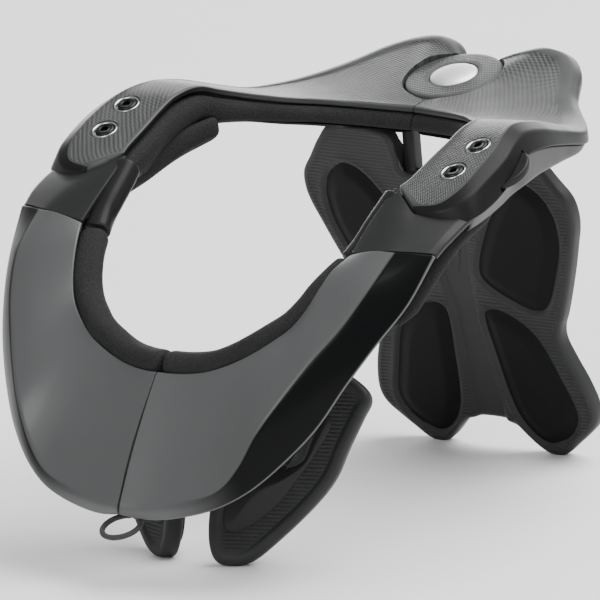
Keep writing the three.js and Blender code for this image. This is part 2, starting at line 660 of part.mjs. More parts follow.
// The smooth roll beside the side plate, between the front foam roll and the rear one.
function innerCover() {
  const clearance = GAP + 0.1;
  return cut(
    roll(COVER_ROWS, COVER_ROLL, 2, 12, 0.85), sidePlate(), moved(sidePlate(), -clearance, 0, 0),
    moved(sidePlate(), 0, 0, -clearance), collarBeam(), moved(collarBeam(), -clearance, 0, 0),
    moved(collarBeam(), -clearance, 0, -clearance), rearPad(), moved(rearPad(), 0, -clearance, 0),
    moved(solidFrame(), 0, -clearance, -clearance));
}

const wingAcross = vector(WING_ACROSS).normalize();
const wingNormal = vector(WING_NORMAL).normalize();
const wingFrame = basis(wingAcross, wingAcross.clone().cross(wingNormal), wingNormal, fromShares(WING_ORIGIN));

function shoulderPad() {
  return cut(
    roll(SHOULDER_PAD_ROWS, SHOULDER_ROLL, 2, 10, 0.8), rearBase(), moved(rearBase(), 0, 0, -GAP - 0.1),
    moved(rearPad(), 0, 0, -GAP - 0.1));
}

function chestWing() {
  const plate = softPlate(shapeOf(scaled(WING_OUTLINE, WING_HEIGHT)), WING_THICKNESS, WING_EDGE);
  plate.applyMatrix4(wingFrame);
  const strut = roll(STRUT_ROWS, STRUT, 1, 8, 0.6);
  return join(plate, cut(strut, collarBeam(), moved(collarBeam(), 0, GAP, -GAP)));
}

function chestInsert() {
  const plate = softPlate(shapeOf(scaled(INSERT_OUTLINE, WING_HEIGHT)), INSERT_THICKNESS, 0.8);
  plate.translate(0, 0, -INSERT_THICKNESS - GAP);
  plate.applyMatrix4(wingFrame);
  return plate;
}

function chestPad() {
  const outline = scaledAbout(scaled(WING_OUTLINE, WING_HEIGHT), CHEST_PAD_INSET);
  const plate = softPlate(shapeOf(outline), CHEST_PAD_THICKNESS, 2.6);
  plate.translate(0, 0, WING_THICKNESS + GAP);
  plate.applyMatrix4(wingFrame);
  return plate;
}

const lean = THREE.MathUtils.degToRad(STABILISER_LEAN_DEG);
const plateOut = new THREE.Vector3(0, Math.cos(lean), Math.sin(lean));
const plateUp = new THREE.Vector3(0, -Math.sin(lean), Math.cos(lean));
const plateOrigin = fromShares(STABILISER_ORIGIN);
const stabiliserFrame = basis(xOut.clone().negate(), plateUp, plateOut, plateOrigin);

function stabiliser() {
  const left = scaled(STABILISER_OUTLINE, STABILISER_HEIGHT);
  const right = left.slice(1, -1).map(([x, y]) => [-x, y]).reverse();
  const outline = [...left, ...right];
  const shape = new THREE.Shape(outline.map(([x, y]) => new THREE.Vector2(x, y)));
  const plate = softPlate(shape, STABILISER_THICKNESS, STABILISER_EDGE);
  plate.applyMatrix4(stabiliserFrame);
  const width = LEG.outer - LEG.inner;
  const middle = (LEG.outer + LEG.inner) / 2;
  const foot = plateOrigin.clone().addScaledVector(plateUp, -LEG.overlap);
  const underHub = HUB_PLATE.top + HUB_PLATE.thickness + GAP;
  const legs = [-middle, middle].map((x) => {
    const box = new THREE.BoxGeometry(width, LEG.depth, LEG.height);
    box.translate(0, 0, LEG.height / 2);
    box.rotateX(THREE.MathUtils.degToRad(STABILISER_LEAN_DEG * 0.35));
    box.translate(x, foot.y + STABILISER_THICKNESS * 0.35, foot.z);
    return box;
  });
  const above = post(HALF_WIDTH, -underHub, FAR, 32, hubFrame);
  const trimmed = legs.map((box) => cut(box, above));
  return join(plate, ...trimmed);
}

function stabiliserPad(outline) {
  const shape = shapeOf(scaled(outline, STABILISER_HEIGHT));
  const plate = softPlate(shape, STABILISER_PAD_THICKNESS, STABILISER_PAD_EDGE);
  plate.translate(0, 0, -STABILISER_PAD_THICKNESS - GAP);
  plate.applyMatrix4(basis(xOut, plateUp, plateOut, plateOrigin));
  return outward(bare(plate));
}

function hubDisc() {
  const { radius, rise, depth, bore, recess } = DISC;
  return lathe([
    [0, -depth], [radius, -depth], [radius, rise - 1.4], [radius - 1.2, rise - 0.2], [bore + 1, rise + 0.6],
    [bore, rise], [bore, rise - recess], [0, rise - recess],
  ], 40, hubFrame);
}

function hubButton() {
  const low = DISC.rise - DISC.recess + GAP;
  const { radius, dome } = BUTTON;
  return lathe([
    [0, low], [radius, low], [radius, low + 1.8], [radius * 0.93, low + 1.8 + dome * 0.45],
    [radius * 0.7, low + 1.8 + dome * 0.75], [radius * 0.38, low + 1.8 + dome * 0.94], [0, low + 1.8 + dome],
  ], 28, hubFrame);
}

function hubPlate() {
  const { radius, top, thickness } = HUB_PLATE;
  return post(radius, -top - thickness, -top, 32, hubFrame);
}

function frontPad() {
  const clearance = GAP + 0.1;
  return cut(
    roll(FRONT_PAD_ROWS, FRONT_ROLL, 2, 10, 0.85), frontShell(), moved(frontShell(), 0, clearance, -clearance),
    collarBeam(), moved(collarBeam(), -clearance, clearance, -clearance),
    moved(sidePlate(), -clearance, clearance, -clearance));
}

function pullLoop() {
  const ring = new THREE.TorusGeometry(LOOP.radius, LOOP.cord, 6, 18);
  ring.rotateX(THREE.MathUtils.degToRad(LOOP.tiltDeg));
  const { edge } = shellStations[0];
  ring.translate(0, edge.y + LOOP.behindLip, edge.z - LOOP.belowLip);
  return join(ring, roll(LOOP_LINK_ROWS, { width: LOOP.cord, height: LOOP.cord }, 1, 6, 1));
}

const DARK = 0x2b2d30;
const FOAM = 0x1d1e20;
const STEEL = 0xb8bcc0;

const seats = Object.fromEntries(BOLT_SEATS.map((seat) => [seat.name, seatFrame(seat)]));
const paired = {
  front_shell: [seamed(frontShell()), 0x5a5c60],
  collar_beam: [seamed(collarBeam()), DARK],
  side_plate: [sidePlate(), DARK],
  inner_cover: [innerCover(), DARK],
  front_pad: [seamed(frontPad()), FOAM],
  rear_frame: [seamed(rearFrame()), 0x36383b],
  rear_base: [rearBase(), 0x303235],
  rear_pad: [seamed(rearPad()), FOAM],
  shoulder_pad: [shoulderPad(), FOAM],
  release_lever: [lever(), 0x3d3f43],
  front_bolt_cup: [cup(seats.front), STEEL],
  rear_bolt_cup: [cup(seats.rear), STEEL],
  front_bolt: [bolt(seats.front), 0x202225],
  rear_bolt: [bolt(seats.rear), 0x202225],
  chest_wing: [chestWing(), 0x3a3c3f],
  chest_insert: [chestInsert(), FOAM],
  chest_pad: [chestPad(), FOAM],
  stabiliser_upper_pad: [stabiliserPad(UPPER_PAD_OUTLINE), FOAM],
  stabiliser_lower_pad: [stabiliserPad(LOWER_PAD_OUTLINE), FOAM],
};
const single = {
  hub_disc: [hubDisc(), 0x44464a],
  hub_button: [hubButton(), STEEL],
  hub_plate: [hubPlate(), DARK],
  back_stabiliser: [stabiliser(), 0x3a3c3f],
  pull_loop: [pullLoop(), FOAM],
};

const pieces = [];
Object.entries(paired).forEach(([name, [geometry, colour]]) => {
  pieces.push({ name: `left_${name}`, geometry: bare(geometry), colour });
  pieces.push({ name: `right_${name}`, geometry: mirrored(geometry), colour });
});
Object.entries(single).forEach(([name, [geometry, colour]]) => {
  pieces.push({ name, geometry: bare(geometry), colour });
});

// Tip the worn brace until the chest wings and the stabiliser feet reach the same height.
function lowest(name, matrix) {
  const { geometry } = pieces.find((piece) => piece.name === name);
  const position = geometry.getAttribute('position');
  const point = new THREE.Vector3();
  const best = new THREE.Vector3(0, 0, Infinity);
  for (let i = 0; i < position.count; i += 1) {
    point.fromBufferAttribute(position, i).applyMatrix4(matrix);
    if (point.z < best.z) best.copy(point);
  }
  return best;
}

let tip = 0;
for (let round = 0; round < 6; round += 1) {
  const turned = new THREE.Matrix4().makeRotationX(tip);
  const chest = lowest('left_chest_wing', turned);
  const back = lowest('back_stabiliser', turned);
  tip -= Math.atan2(back.z - chest.z, back.y - chest.y);
}

const stand = new THREE.Matrix4().makeRotationX(tip);
const box = new THREE.Box3();
pieces.forEach((piece) => {
  piece.geometry.applyMatrix4(stand);
  piece.geometry.computeBoundingBox();
  box.union(piece.geometry.boundingBox);
});
const shift = new THREE.Vector3(0, -(box.min.y + box.max.y) / 2, -box.min.z - FOOT_FLAT);
const floor = new THREE.BoxGeometry(FAR, FAR, RISE);
floor.translate(0, 0, -RISE / 2);
const footed = ['left_chest_wing', 'right_chest_wing', 'back_stabiliser'];

const brace = new THREE.Group();
brace.name = 'motocross_neck_brace';
pieces.forEach(({ name, geometry, colour }) => {
  geometry.translate(shift.x, shift.y, shift.z);
  const standing = footed.includes(name) ? bare(cut(geometry, floor)) : geometry;
  const mesh = new THREE.Mesh(standing, new THREE.MeshStandardMaterial({ color: colour }));
  mesh.name = name;
  brace.add(mesh);
});

export default brace;
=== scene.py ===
import math
import bmesh
import bpy
import numpy as np
from mathutils import Matrix, Vector, kdtree


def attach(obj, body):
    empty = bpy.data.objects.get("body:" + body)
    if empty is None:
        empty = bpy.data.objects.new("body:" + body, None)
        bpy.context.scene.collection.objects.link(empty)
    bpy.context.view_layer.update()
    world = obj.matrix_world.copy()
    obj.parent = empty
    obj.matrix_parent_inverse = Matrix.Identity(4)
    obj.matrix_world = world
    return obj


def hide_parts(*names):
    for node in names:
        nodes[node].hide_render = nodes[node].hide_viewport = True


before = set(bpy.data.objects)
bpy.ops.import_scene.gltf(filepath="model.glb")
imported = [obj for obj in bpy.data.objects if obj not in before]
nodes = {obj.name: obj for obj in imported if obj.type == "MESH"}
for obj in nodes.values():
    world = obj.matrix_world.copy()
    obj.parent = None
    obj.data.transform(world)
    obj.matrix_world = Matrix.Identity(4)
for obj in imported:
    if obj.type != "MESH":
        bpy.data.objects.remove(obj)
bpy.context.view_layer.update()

# The brace is drawn as worn, in millimetres, with the same named sizes as its solids,
# then tipped and set on the floor. X is the wearer's left, -Y the wearer's front.
HALF_WIDTH = 138.0
FRONT_REACH = 150.0
RISE = 100.0
GAP = 0.3
TIP = math.radians(-5.090975)
SHIFT = np.array([0, -13.254815, 120.192632])
MM = 0.001


def turn(points):
    p = np.asarray(points, float)
    c = math.cos(TIP)
    s = math.sin(TIP)
    return np.stack([p[..., 0], p[..., 1] * c - p[..., 2] * s, p[..., 1] * s + p[..., 2] * c], -1)


def stand(points):
    """Places on the stand, in metres, of points as worn."""
    return (turn(points) + SHIFT) * MM


def unit(v):
    v = np.asarray(v, float)
    return v / np.maximum(np.linalg.norm(v, axis=-1, keepdims=True), 1e-9)


# The camera looks from the photograph's side and height, far off with a long lens.
VIEW_RIGHT = (0.7986, 0.6018, 0.0)
VIEW_UP = (-0.0993, 0.1318, 0.9863)
VIEW_WIDTH = 0.3158
VIEW_SHIFT = 0.00526
VIEW_DISTANCE = 12.0
SENSOR_WIDTH = 36


def aim_camera():
    right = unit(turn(VIEW_RIGHT))
    back = unit(np.cross(right, turn(VIEW_UP)))
    up = np.cross(back, right)
    data = bpy.data.cameras.new("camera")
    data.sensor_width = SENSOR_WIDTH
    data.lens = SENSOR_WIDTH * VIEW_DISTANCE / VIEW_WIDTH
    data.clip_end = 100
    cam = bpy.data.objects.new("camera", data)
    bpy.context.scene.collection.objects.link(cam)
    where = stand((0, 0, 0)) + right * VIEW_SHIFT + back * VIEW_DISTANCE
    cam.matrix_world = Matrix([[right[i], up[i], back[i], where[i]] for i in range(3)] + [[0, 0, 0, 1]])
    bpy.context.scene.camera = cam


aim_camera()

# Guide points of the left half, as shares of half width, front reach and rise, from the front
# seam to the rear. A centre has two half sizes beside it, as shares of its roll's. All shares
# here are in thousandths.
SHELL_ROWS = [  # rim, crease, edge
    ((-10, -775, -223), (-10, -988, -860), (-10, -997, -937)),
    ((91, -753, -224), (130, -966, -870), (130, -960, -958)),
    ((188, -733, -207), (290, -944, -830), (290, -940, -920)),
    ((288, -717, -160), (413, -928, -765), (420, -913, -860)),
    ((375, -697, -99), (500, -913, -620), (536, -871, -760)),
    ((449, -664, -27), (558, -895, -410), (645, -815, -610)),
    ((512, -624, 50), (609, -851, -230), (739, -747, -435)),
    ((553, -584, 145), (667, -780, -40), (822, -673, -205)),
    ((581, -544, 250), (728, -693, 135), (893, -581, 5)),
    ((606, -497, 342), (775, -603, 290), (953, -477, 200)),
    ((637, -435, 412), (808, -440, 450), (987, -365, 444)),
]
PLATE_ROWS = [  # inner, middle, outer
    ((641, -431, 420), (809, -435, 459), (988, -361, 452)),
    ((638, -347, 530), (812, -400, 490), (996, -300, 520)),
    ((638, -257, 635), (808, -320, 560), (997, -227, 578)),
    ((642, -176, 722), (793, -256, 610), (994, -163, 618)),
]
FRAME_ROWS = [  # inner, crease, chamfer, foot
    ((657, -168, 730), (779, -237, 652), (796, -249, 634), (796, -245, 575)),
    ((668, -127, 758), (880, -218, 674), (906, -230, 645), (920, -227, 565)),
    ((671, -67, 803), (928, -157, 740), (971, -167, 710), (1007, -173, 600)),
    ((673, 0, 855), (939, -56, 834), (989, -57, 800), (1014, -40, 670)),
    ((678, 77, 913), (929, 60, 924), (982, 57, 885), (1009, 60, 770)),
    ((675, 162, 971), (903, 140, 980), (955, 139, 938), (990, 133, 840)),
    ((657, 273, 999), (871, 236, 1010), (926, 231, 970), (971, 213, 867)),
    ((609, 340, 976), (855, 367, 996), (900, 373, 956), (932, 367, 868)),
    ((533, 440, 942), (828, 533, 944), (865, 544, 910), (887, 540, 840)),
    ((435, 517, 922), (791, 693, 900), (826, 716, 872), (835, 720, 810)),
    ((351, 597, 909), (722, 792, 914), (754, 813, 888), (754, 813, 840)),
    ((268, 650, 899), (643, 867, 948), (671, 888, 922), (671, 888, 870)),
    ((199, 677, 894), (572, 937, 989), (599, 956, 962), (599, 956, 910)),
    ((141, 693, 891), (513, 1021, 1034), (540, 1040, 1006), (540, 1040, 955)),
    ((98, 704, 889), (446, 1115, 1092), (470, 1140, 1064), (470, 1140, 1010)),
    ((65, 712, 888), (359, 1181, 1136), (370, 1212, 1118), (370, 1212, 1060)),
    ((41, 717, 887), (257, 1183, 1158), (252, 1213, 1150), (252, 1213, 1085)),
    ((23, 720, 887), (178, 1173, 1136), (164, 1203, 1130), (164, 1203, 1065)),
    ((11, 722, 887), (123, 1144, 1107), (97, 1160, 1098), (97, 1160, 1030)),
    ((4, 723, 887), (88, 1107, 1079), (77, 1124, 1074), (77, 1124, 1015)),
    ((-10, 723, 887), (-10, 867, 959), (-10, 893, 972), (-10, 893, 902)),
]
BASE_ROWS = [  # inner, outer
    ((678, -93, 550), (954, -127, 516)),
    ((677, -20, 590), (957, -40, 555)),
    ((678, 57, 650), (953, 60, 605)),
    ((675, 147, 710), (946, 140, 650)),
    ((663, 233, 765), (938, 220, 680)),
    ((623, 323, 795), (902, 360, 712)),
    ((558, 420, 795), (862, 527, 734)),
    ((464, 500, 784), (816, 700, 760)),
    ((384, 580, 774), (738, 792, 790)),
    ((312, 633, 766), (654, 867, 824)),
    ((246, 660, 764), (581, 936, 864)),
    ((188, 680, 763), (523, 1019, 910)),
    ((145, 690, 762), (457, 1117, 960)),
    ((109, 697, 762), (361, 1187, 1004)),
    ((84, 701, 762), (255, 1188, 1013)),
    ((67, 704, 762), (183, 1176, 1006)),
    ((51, 707, 762), (126, 1140, 986)),
]
COVER_ROWS = [  # centre, half
    ((609, -377, 364), (1000, 943)),
    ((625, -327, 435), (1000, 971)),
    ((630, -270, 515), (1000, 1000)),
    ((635, -213, 590), (1000, 1000)),
    ((641, -167, 652), (1000, 1000)),
]
FRONT_PAD_ROWS = [  # centre, half
    ((-10, -708, -198), (1000, 1000)),
    ((100, -688, -198), (1000, 1000)),
    ((201, -668, -178), (1000, 1000)),
    ((287, -652, -130), (1000, 1000)),
    ((357, -640, -76), (1000, 1000)),
    ((420, -608, -14), (1000, 986)),
    ((478, -569, 52), (1000, 959)),
    ((519, -531, 132), (1000, 919)),
    ((549, -491, 216), (1000, 892)),
    ((577, -443, 286), (1000, 892)),
    ((600, -391, 344), (971, 892)),
]
SHOULDER_PAD_ROWS = [  # centre, half
    ((812, -420, 70), (500, 533)),
    ((817, -360, 150), (821, 833)),
    ((814, -240, 325), (929, 967)),
    ((804, -100, 462), (957, 1000)),
    ((783, 60, 550), (971, 1000)),
    ((732, 200, 655), (929, 933)),
    ((645, 337, 750), (714, 767)),
]
STRUT_ROWS = [  # centre, half
    ((387, -672, -235), (1000, 923)),
    ((355, -583, -410), (1000, 923)),
    ((335, -513, -520), (1000, 1000)),
    ((320, -430, -620), (1000, 1000)),
]
WING_OUTLINE = [
    (0, -10), (10, -193), (48, -251), (127, -266), (216, -247), (381, -113),
    (582, 95), (658, 205), (718, 350), (792, 512), (826, 584), (820, 627),
    (772, 681), (676, 734), (541, 734), (386, 637), (193, 405), (48, 174),
]
INSERT_OUTLINE = [
    (80, -55), (128, -94), (233, -48), (367, 69), (458, 191), (555, 333),
    (630, 489), (598, 521), (545, 425), (483, 280), (386, 241), (261, 241),
    (125, 135),
]
STABILISER_OUTLINE = [
    (0, -796), (42, -798), (84, -808), (110, -830), (138, -858), (168, -883),
    (205, -893), (241, -882), (282, -851), (325, -817), (362, -782), (376, -749),
    (375, -710), (359, -642), (335, -578), (317, -513), (324, -474), (343, -437),
    (378, -358), (410, -280), (439, -202), (458, -147), (464, -105), (457, -55),
    (419, 0), (377, 58), (325, 107), (141, 107), (118, 84), (110, 31),
    (105, -16), (0, -16),
]
UPPER_PAD_OUTLINE = [
    (304, -10), (335, -21), (372, -55), (394, -105), (397, -162), (385, -225),
    (351, -309), (309, -393), (280, -420), (243, -424), (186, -406), (102, -356),
    (83, -327), (89, -288), (131, -199), (188, -105), (251, -31),
]
LOWER_PAD_OUTLINE = [
    (65, -453), (81, -437), (115, -434), (188, -466), (241, -524), (283, -639),
    (312, -743), (301, -785), (267, -825), (209, -853), (173, -851), (141, -830),
    (99, -764), (71, -576),
]
REAR_PAD_SECTION = [
    (-181, -572), (-157, -373), (-48, -229), (133, -217),
    (277, -217), (277, -940), (60, -1000), (-120, -855),
]
CLOSE_STEPS = [0.04, 0.1, 0.2, 0.35, 0.6]


def shares(rows, column):
    return np.array([row[column] for row in rows]) / 1000 * (HALF_WIDTH, FRONT_REACH, RISE)


def curve(points, ts, closed=False):
    """Centripetal Catmull-Rom curve through the points, read at shares of its length in rows."""
    p = np.asarray(points, float)
    spans = len(p) if closed else len(p) - 1
    ext = np.vstack([p[-1:], p, p[:2]]) if closed else np.vstack([2 * p[0] - p[1], p, 2 * p[-1] - p[-2]])
    out = []
    for t in ts:
        i = min(int(t * spans), spans - 1)
        u = t * spans - i
        p0, p1, p2, p3 = ext[i:i + 4]
        d0, d1, d2 = (max(np.linalg.norm(b - a) ** 0.5, 1e-4) for a, b in ((p0, p1), (p1, p2), (p2, p3)))
        m1 = ((p1 - p0) / d0 - (p2 - p0) / (d0 + d1) + (p2 - p1) / d1) * d1
        m2 = ((p2 - p1) / d1 - (p3 - p1) / (d1 + d2) + (p3 - p2) / d2) * d1
        out.append(p1 + m1 * u + (3 * (p2 - p1) - 2 * m1 - m2) * u ** 2 + (2 * (p1 - p2) + m1 + m2) * u ** 3)
    return np.array(out)


def steps(spans, each, start=0.0, end=1.0):
    """Even steps along a curve, with close steps at both ends for softened edges."""
    inner = np.linspace(start, end, spans * each + 1)
    near = np.array(CLOSE_STEPS) / (spans * each)
    return np.unique(np.concatenate([inner, start + near, end - near]))


def smooth(x, low, high):
    t = np.clip((np.asarray(x, float) - low) / (high - low), 0, 1)
    return t * t * (3 - 2 * t)


def rounded_corner(p, before, after, radius, n=5, limit=0.45):
    """A corner drawn as a small curve of n points."""
    a, b = before - p, after - p
    la, lb = np.linalg.norm(a), np.linalg.norm(b)
    r = min(radius, limit * la, limit * lb)
    start = p + a / max(la, 1e-6) * r
    end = p + b / max(lb, 1e-6) * r
    t = np.linspace(0, 1, n)[:, None]
    return (1 - t) ** 2 * start + 2 * t * (1 - t) * p + t ** 2 * end


def rounded(corners, radii, n=4):
    """A closed section with each corner drawn as a small curve of n + 1 points."""
    c = np.asarray(corners, float)
    after = np.roll(c, -1, axis=0)
    return np.vstack([rounded_corner(c[i], c[i - 1], after[i], radii[i], n + 1, 0.48) for i in range(len(c))])


def row_normals(grid):
    grid = np.asarray(grid, float)
    along = np.gradient(grid, axis=0)
    across = np.gradient(grid, axis=1)
    return unit(np.cross(across, along))


def loft(rings):
    """Points and faces of a closed tube through the rings, with a cap at each end."""
    rings = np.asarray(rings, float)
    count, size = rings.shape[:2]
    faces = []
    for i in range(count - 1):
        for j in range(size):
            k = (j + 1) % size
            faces.append((i * size + j, i * size + k, (i + 1) * size + k, (i + 1) * size + j))
    faces.append(tuple(range(size))[::-1])
    faces.append(tuple((count - 1) * size + j for j in range(size)))
    return rings.reshape(-1, 3), faces


def run_along(points):
    """Distance along a line at each of its points."""
    return np.concatenate([[0], np.cumsum(np.linalg.norm(np.diff(points, axis=0), axis=1))])


def arc(rings):
    """Distance along the loft at each ring, by the middles of the rings."""
    return run_along(rings.mean(axis=1))


def soft_ends(rings, radius, front=True, rear=True):
    """Draws the rings in towards their middles near the ends, so that each end is softened."""
    rings = rings.copy()
    s = arc(rings)
    size = np.linalg.norm(rings - rings.mean(axis=1, keepdims=True), axis=2).max(axis=1)
    for on, d in ((front, s), (rear, s[-1] - s)):
        if not on:
            continue
        for i in np.nonzero(d < radius)[0]:
            u = 1 - d[i] / radius
            drop = radius * (1 - math.sqrt(max(1 - u * u, 0)))
            share = max(1 - drop / size[i], 0.2)
            middle = rings[i].mean(axis=0)
            rings[i] = middle + (rings[i] - middle) * share
    return rings


SHARP = math.radians(42)


def finish_mesh(mesh, sharp=SHARP):
    work = bmesh.new()
    work.from_mesh(mesh)
    bmesh.ops.remove_doubles(work, verts=work.verts, dist=2e-6)
    bmesh.ops.recalc_face_normals(work, faces=work.faces)
    bmesh.ops.triangulate(work, faces=[f for f in work.faces if len(f.verts) > 4])
    work.to_mesh(mesh)
    work.free()
    mesh.shade_smooth()
    mesh.set_sharp_from_angle(angle=sharp)


def tag(mesh, marks):
    """Writes one value or vector per point, for the materials to read."""
    for key, values in marks.items():
        values = np.asarray(values, float)
        if values.ndim == 1:
            layer = mesh.attributes.new(key, "FLOAT", "POINT")
            layer.data.foreach_set("value", values)
        else:
            layer = mesh.attributes.new(key, "FLOAT_VECTOR", "POINT")
            layer.data.foreach_set("vector", values.ravel())


def carve(obj, cutters):
    for cutter in cutters:
        change = obj.modifiers.new("cut", "BOOLEAN")
        change.operation = "DIFFERENCE"
        change.solver = "MANIFOLD"
        change.object = cutter
    graph = bpy.context.evaluated_depsgraph_get()
    mesh = bpy.data.meshes.new_from_object(obj.evaluated_get(graph))
    obj.modifiers.clear()
    obj.data = mesh
    for cutter in cutters:
        bpy.data.objects.remove(cutter)


def raw_object(name, points, faces):
    mesh = bpy.data.meshes.new(name)
    mesh.from_pydata([tuple(p) for p in points], [], faces)
    mesh.update()
    obj = bpy.data.objects.new(name, mesh)
    bpy.context.scene.collection.objects.link(obj)
    return obj


def piece(name, shape, body, material, stands_for=(), marks=None, cutters=(), sharp=SHARP):
    """One visible piece: its mesh, looks, body, and the solids that it stands for."""
    points, faces = shape
    obj = raw_object(name, stand(points), faces)
    finish_mesh(obj.data, sharp)
    if cutters:
        carve(obj, cutters)
        finish_mesh(obj.data, sharp)
    if marks:
        tree = kdtree.KDTree(len(points))
        for i, p in enumerate(stand(points)):
            tree.insert(p, i)
        tree.balance()
        near = [tree.find(v.co)[1] for v in obj.data.vertices]
        tag(obj.data, {key: np.asarray(values, float)[near] for key, values in marks.items()})
    obj.data.materials.clear()
    obj.data.materials.append(material)
    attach(obj, body)
    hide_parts(*stands_for)
    return obj


def mirror(shape):
    points, faces = shape
    return np.asarray(points) * (-1, 1, 1), [tuple(reversed(f)) for f in faces]


def basis(across, up, out, origin):
    m = np.eye(4)
    m[:3, 0], m[:3, 1], m[:3, 2], m[:3, 3] = across, up, out, origin
    return m


def place(points, m):
    p = np.asarray(points, float)
    return p @ m[:3, :3].T + m[:3, 3]


def lathe(profile, segments, m):
    """Turns a profile of radius and height about the axis of m; it starts and ends on the axis."""
    profile = np.asarray(profile, float)
    angles = np.linspace(0, 2 * math.pi, segments, endpoint=False)
    points = [(0, 0, profile[0][1]), (0, 0, profile[-1][1])]
    for r, z in profile[1:-1]:
        points += [(r * math.cos(a), r * math.sin(a), z) for a in angles]
    faces = []
    rows = len(profile) - 2
    for j in range(segments):
        k = (j + 1) % segments
        faces.append((0, 2 + k, 2 + j))
        for i in range(rows - 1):
            a, b = 2 + i * segments, 2 + (i + 1) * segments
            faces.append((a + j, a + k, b + k, b + j))
        last = 2 + (rows - 1) * segments
        faces.append((1, last + j, last + k))
    return place(points, m), faces


def cutter_of(shape, flip=False):
    points, faces = mirror(shape) if flip else shape
    obj = raw_object("cutter", stand(points), faces)
    finish_mesh(obj.data)
    return obj


def post(radius, low, high, m, segments=96, flip=False):
    return cutter_of(lathe([(0, low), (radius, low), (radius, high), (0, high)], segments, m), flip)


def roll_rings(rows, size, ts, sides, squareness):
    """Rings of a soft roll along a row of centres."""
    centres = curve(shares(rows, 0), ts)
    halves = np.array([row[1] for row in rows]) / 1000 * size
    at = np.asarray(ts) * (len(rows) - 1)
    a = np.interp(at, range(len(rows)), halves[:, 0])
    b = np.interp(at, range(len(rows)), halves[:, 1])
    along = unit(np.gradient(centres, axis=0))
    across = unit(np.cross(along, (0, 0, 1)))
    over = np.cross(across, along)
    angle = np.linspace(0, 2 * math.pi, sides, endpoint=False)
    c = np.sign(np.cos(angle)) * np.abs(np.cos(angle)) ** squareness
    s = np.sign(np.sin(angle)) * np.abs(np.sin(angle)) ** squareness
    return (centres[:, None] + across[:, None] * (a[:, None] * c)[..., None]
            + over[:, None] * (b[:, None] * s)[..., None])


def outline_distance(points, ring):
    """Distance from each flat point to a closed outline."""
    best = np.full(len(points), 1e9)
    for a, b in zip(ring, np.roll(ring, -1, axis=0)):
        d = b - a
        t = np.clip(((points - a) @ d) / max(d @ d, 1e-9), 0, 1)
        best = np.minimum(best, np.linalg.norm(points - a - t[:, None] * d, axis=1))
    return best


def slab(outline, front, back, m, count=220, rings=26, inset=3.0):
    """A plate in the frame m: a flat outline filled with shrinking rings, its two faces
    set by functions of place and distance from the edge."""
    ring = np.asarray(outline, float)
    closed = np.vstack([ring, ring[:1]])
    lengths = run_along(closed)
    at = np.linspace(0, lengths[-1], count, endpoint=False)
    ring = np.stack([np.interp(at, lengths, closed[:, k]) for k in (0, 1)], 1)
    mid = ring.mean(axis=0)
    reach = np.linalg.norm(ring - mid, axis=1, keepdims=True)
    near = [0, 0.05, 0.14, 0.28, 0.48, 0.75, 1.0]
    flat = [ring + (mid - ring) / reach * inset * d for d in near]
    start = flat[-1]
    flat += [mid + (start - mid) * t for t in np.linspace(1, 0.02, rings)[1:]]
    flat = np.array(flat)
    size = len(flat)
    p = flat.reshape(-1, 2)
    d = outline_distance(p, ring)
    upper = np.column_stack([p, front(p, d)])
    lower = np.column_stack([p, back(p, d)])
    faces = []
    for i in range(size - 1):
        for j in range(count):
            k = (j + 1) % count
            a, b = i * count, (i + 1) * count
            faces.append((a + j, a + k, b + k, b + j))
            o = size * count
            faces.append((o + a + j, o + b + j, o + b + k, o + a + k))
    o = size * count
    for j in range(count):
        k = (j + 1) % count
        faces.append((j, o + j, o + k, k))
    last = (size - 1) * count
    faces.append(tuple(last + j for j in range(count)))
    faces.append(tuple(o + last + j for j in range(count))[::-1])
    points = np.vstack([upper, lower])
    return (place(points, m), faces), p, d


def edge_drop(d, radius):
    """How far a softened edge falls below the face at distance d from the outline."""
    u = 1 - np.clip(d / radius, 0, 1)
    return radius * (1 - np.sqrt(1 - u * u))


def spline_outline(points, scale, steps_each=6):
    p = np.column_stack([np.array(points) / 1000 * scale, np.zeros(len(points))])
    ts = np.linspace(0, 1, len(points) * steps_each, endpoint=False)
    return curve(p, ts, closed=True)[:, :2]


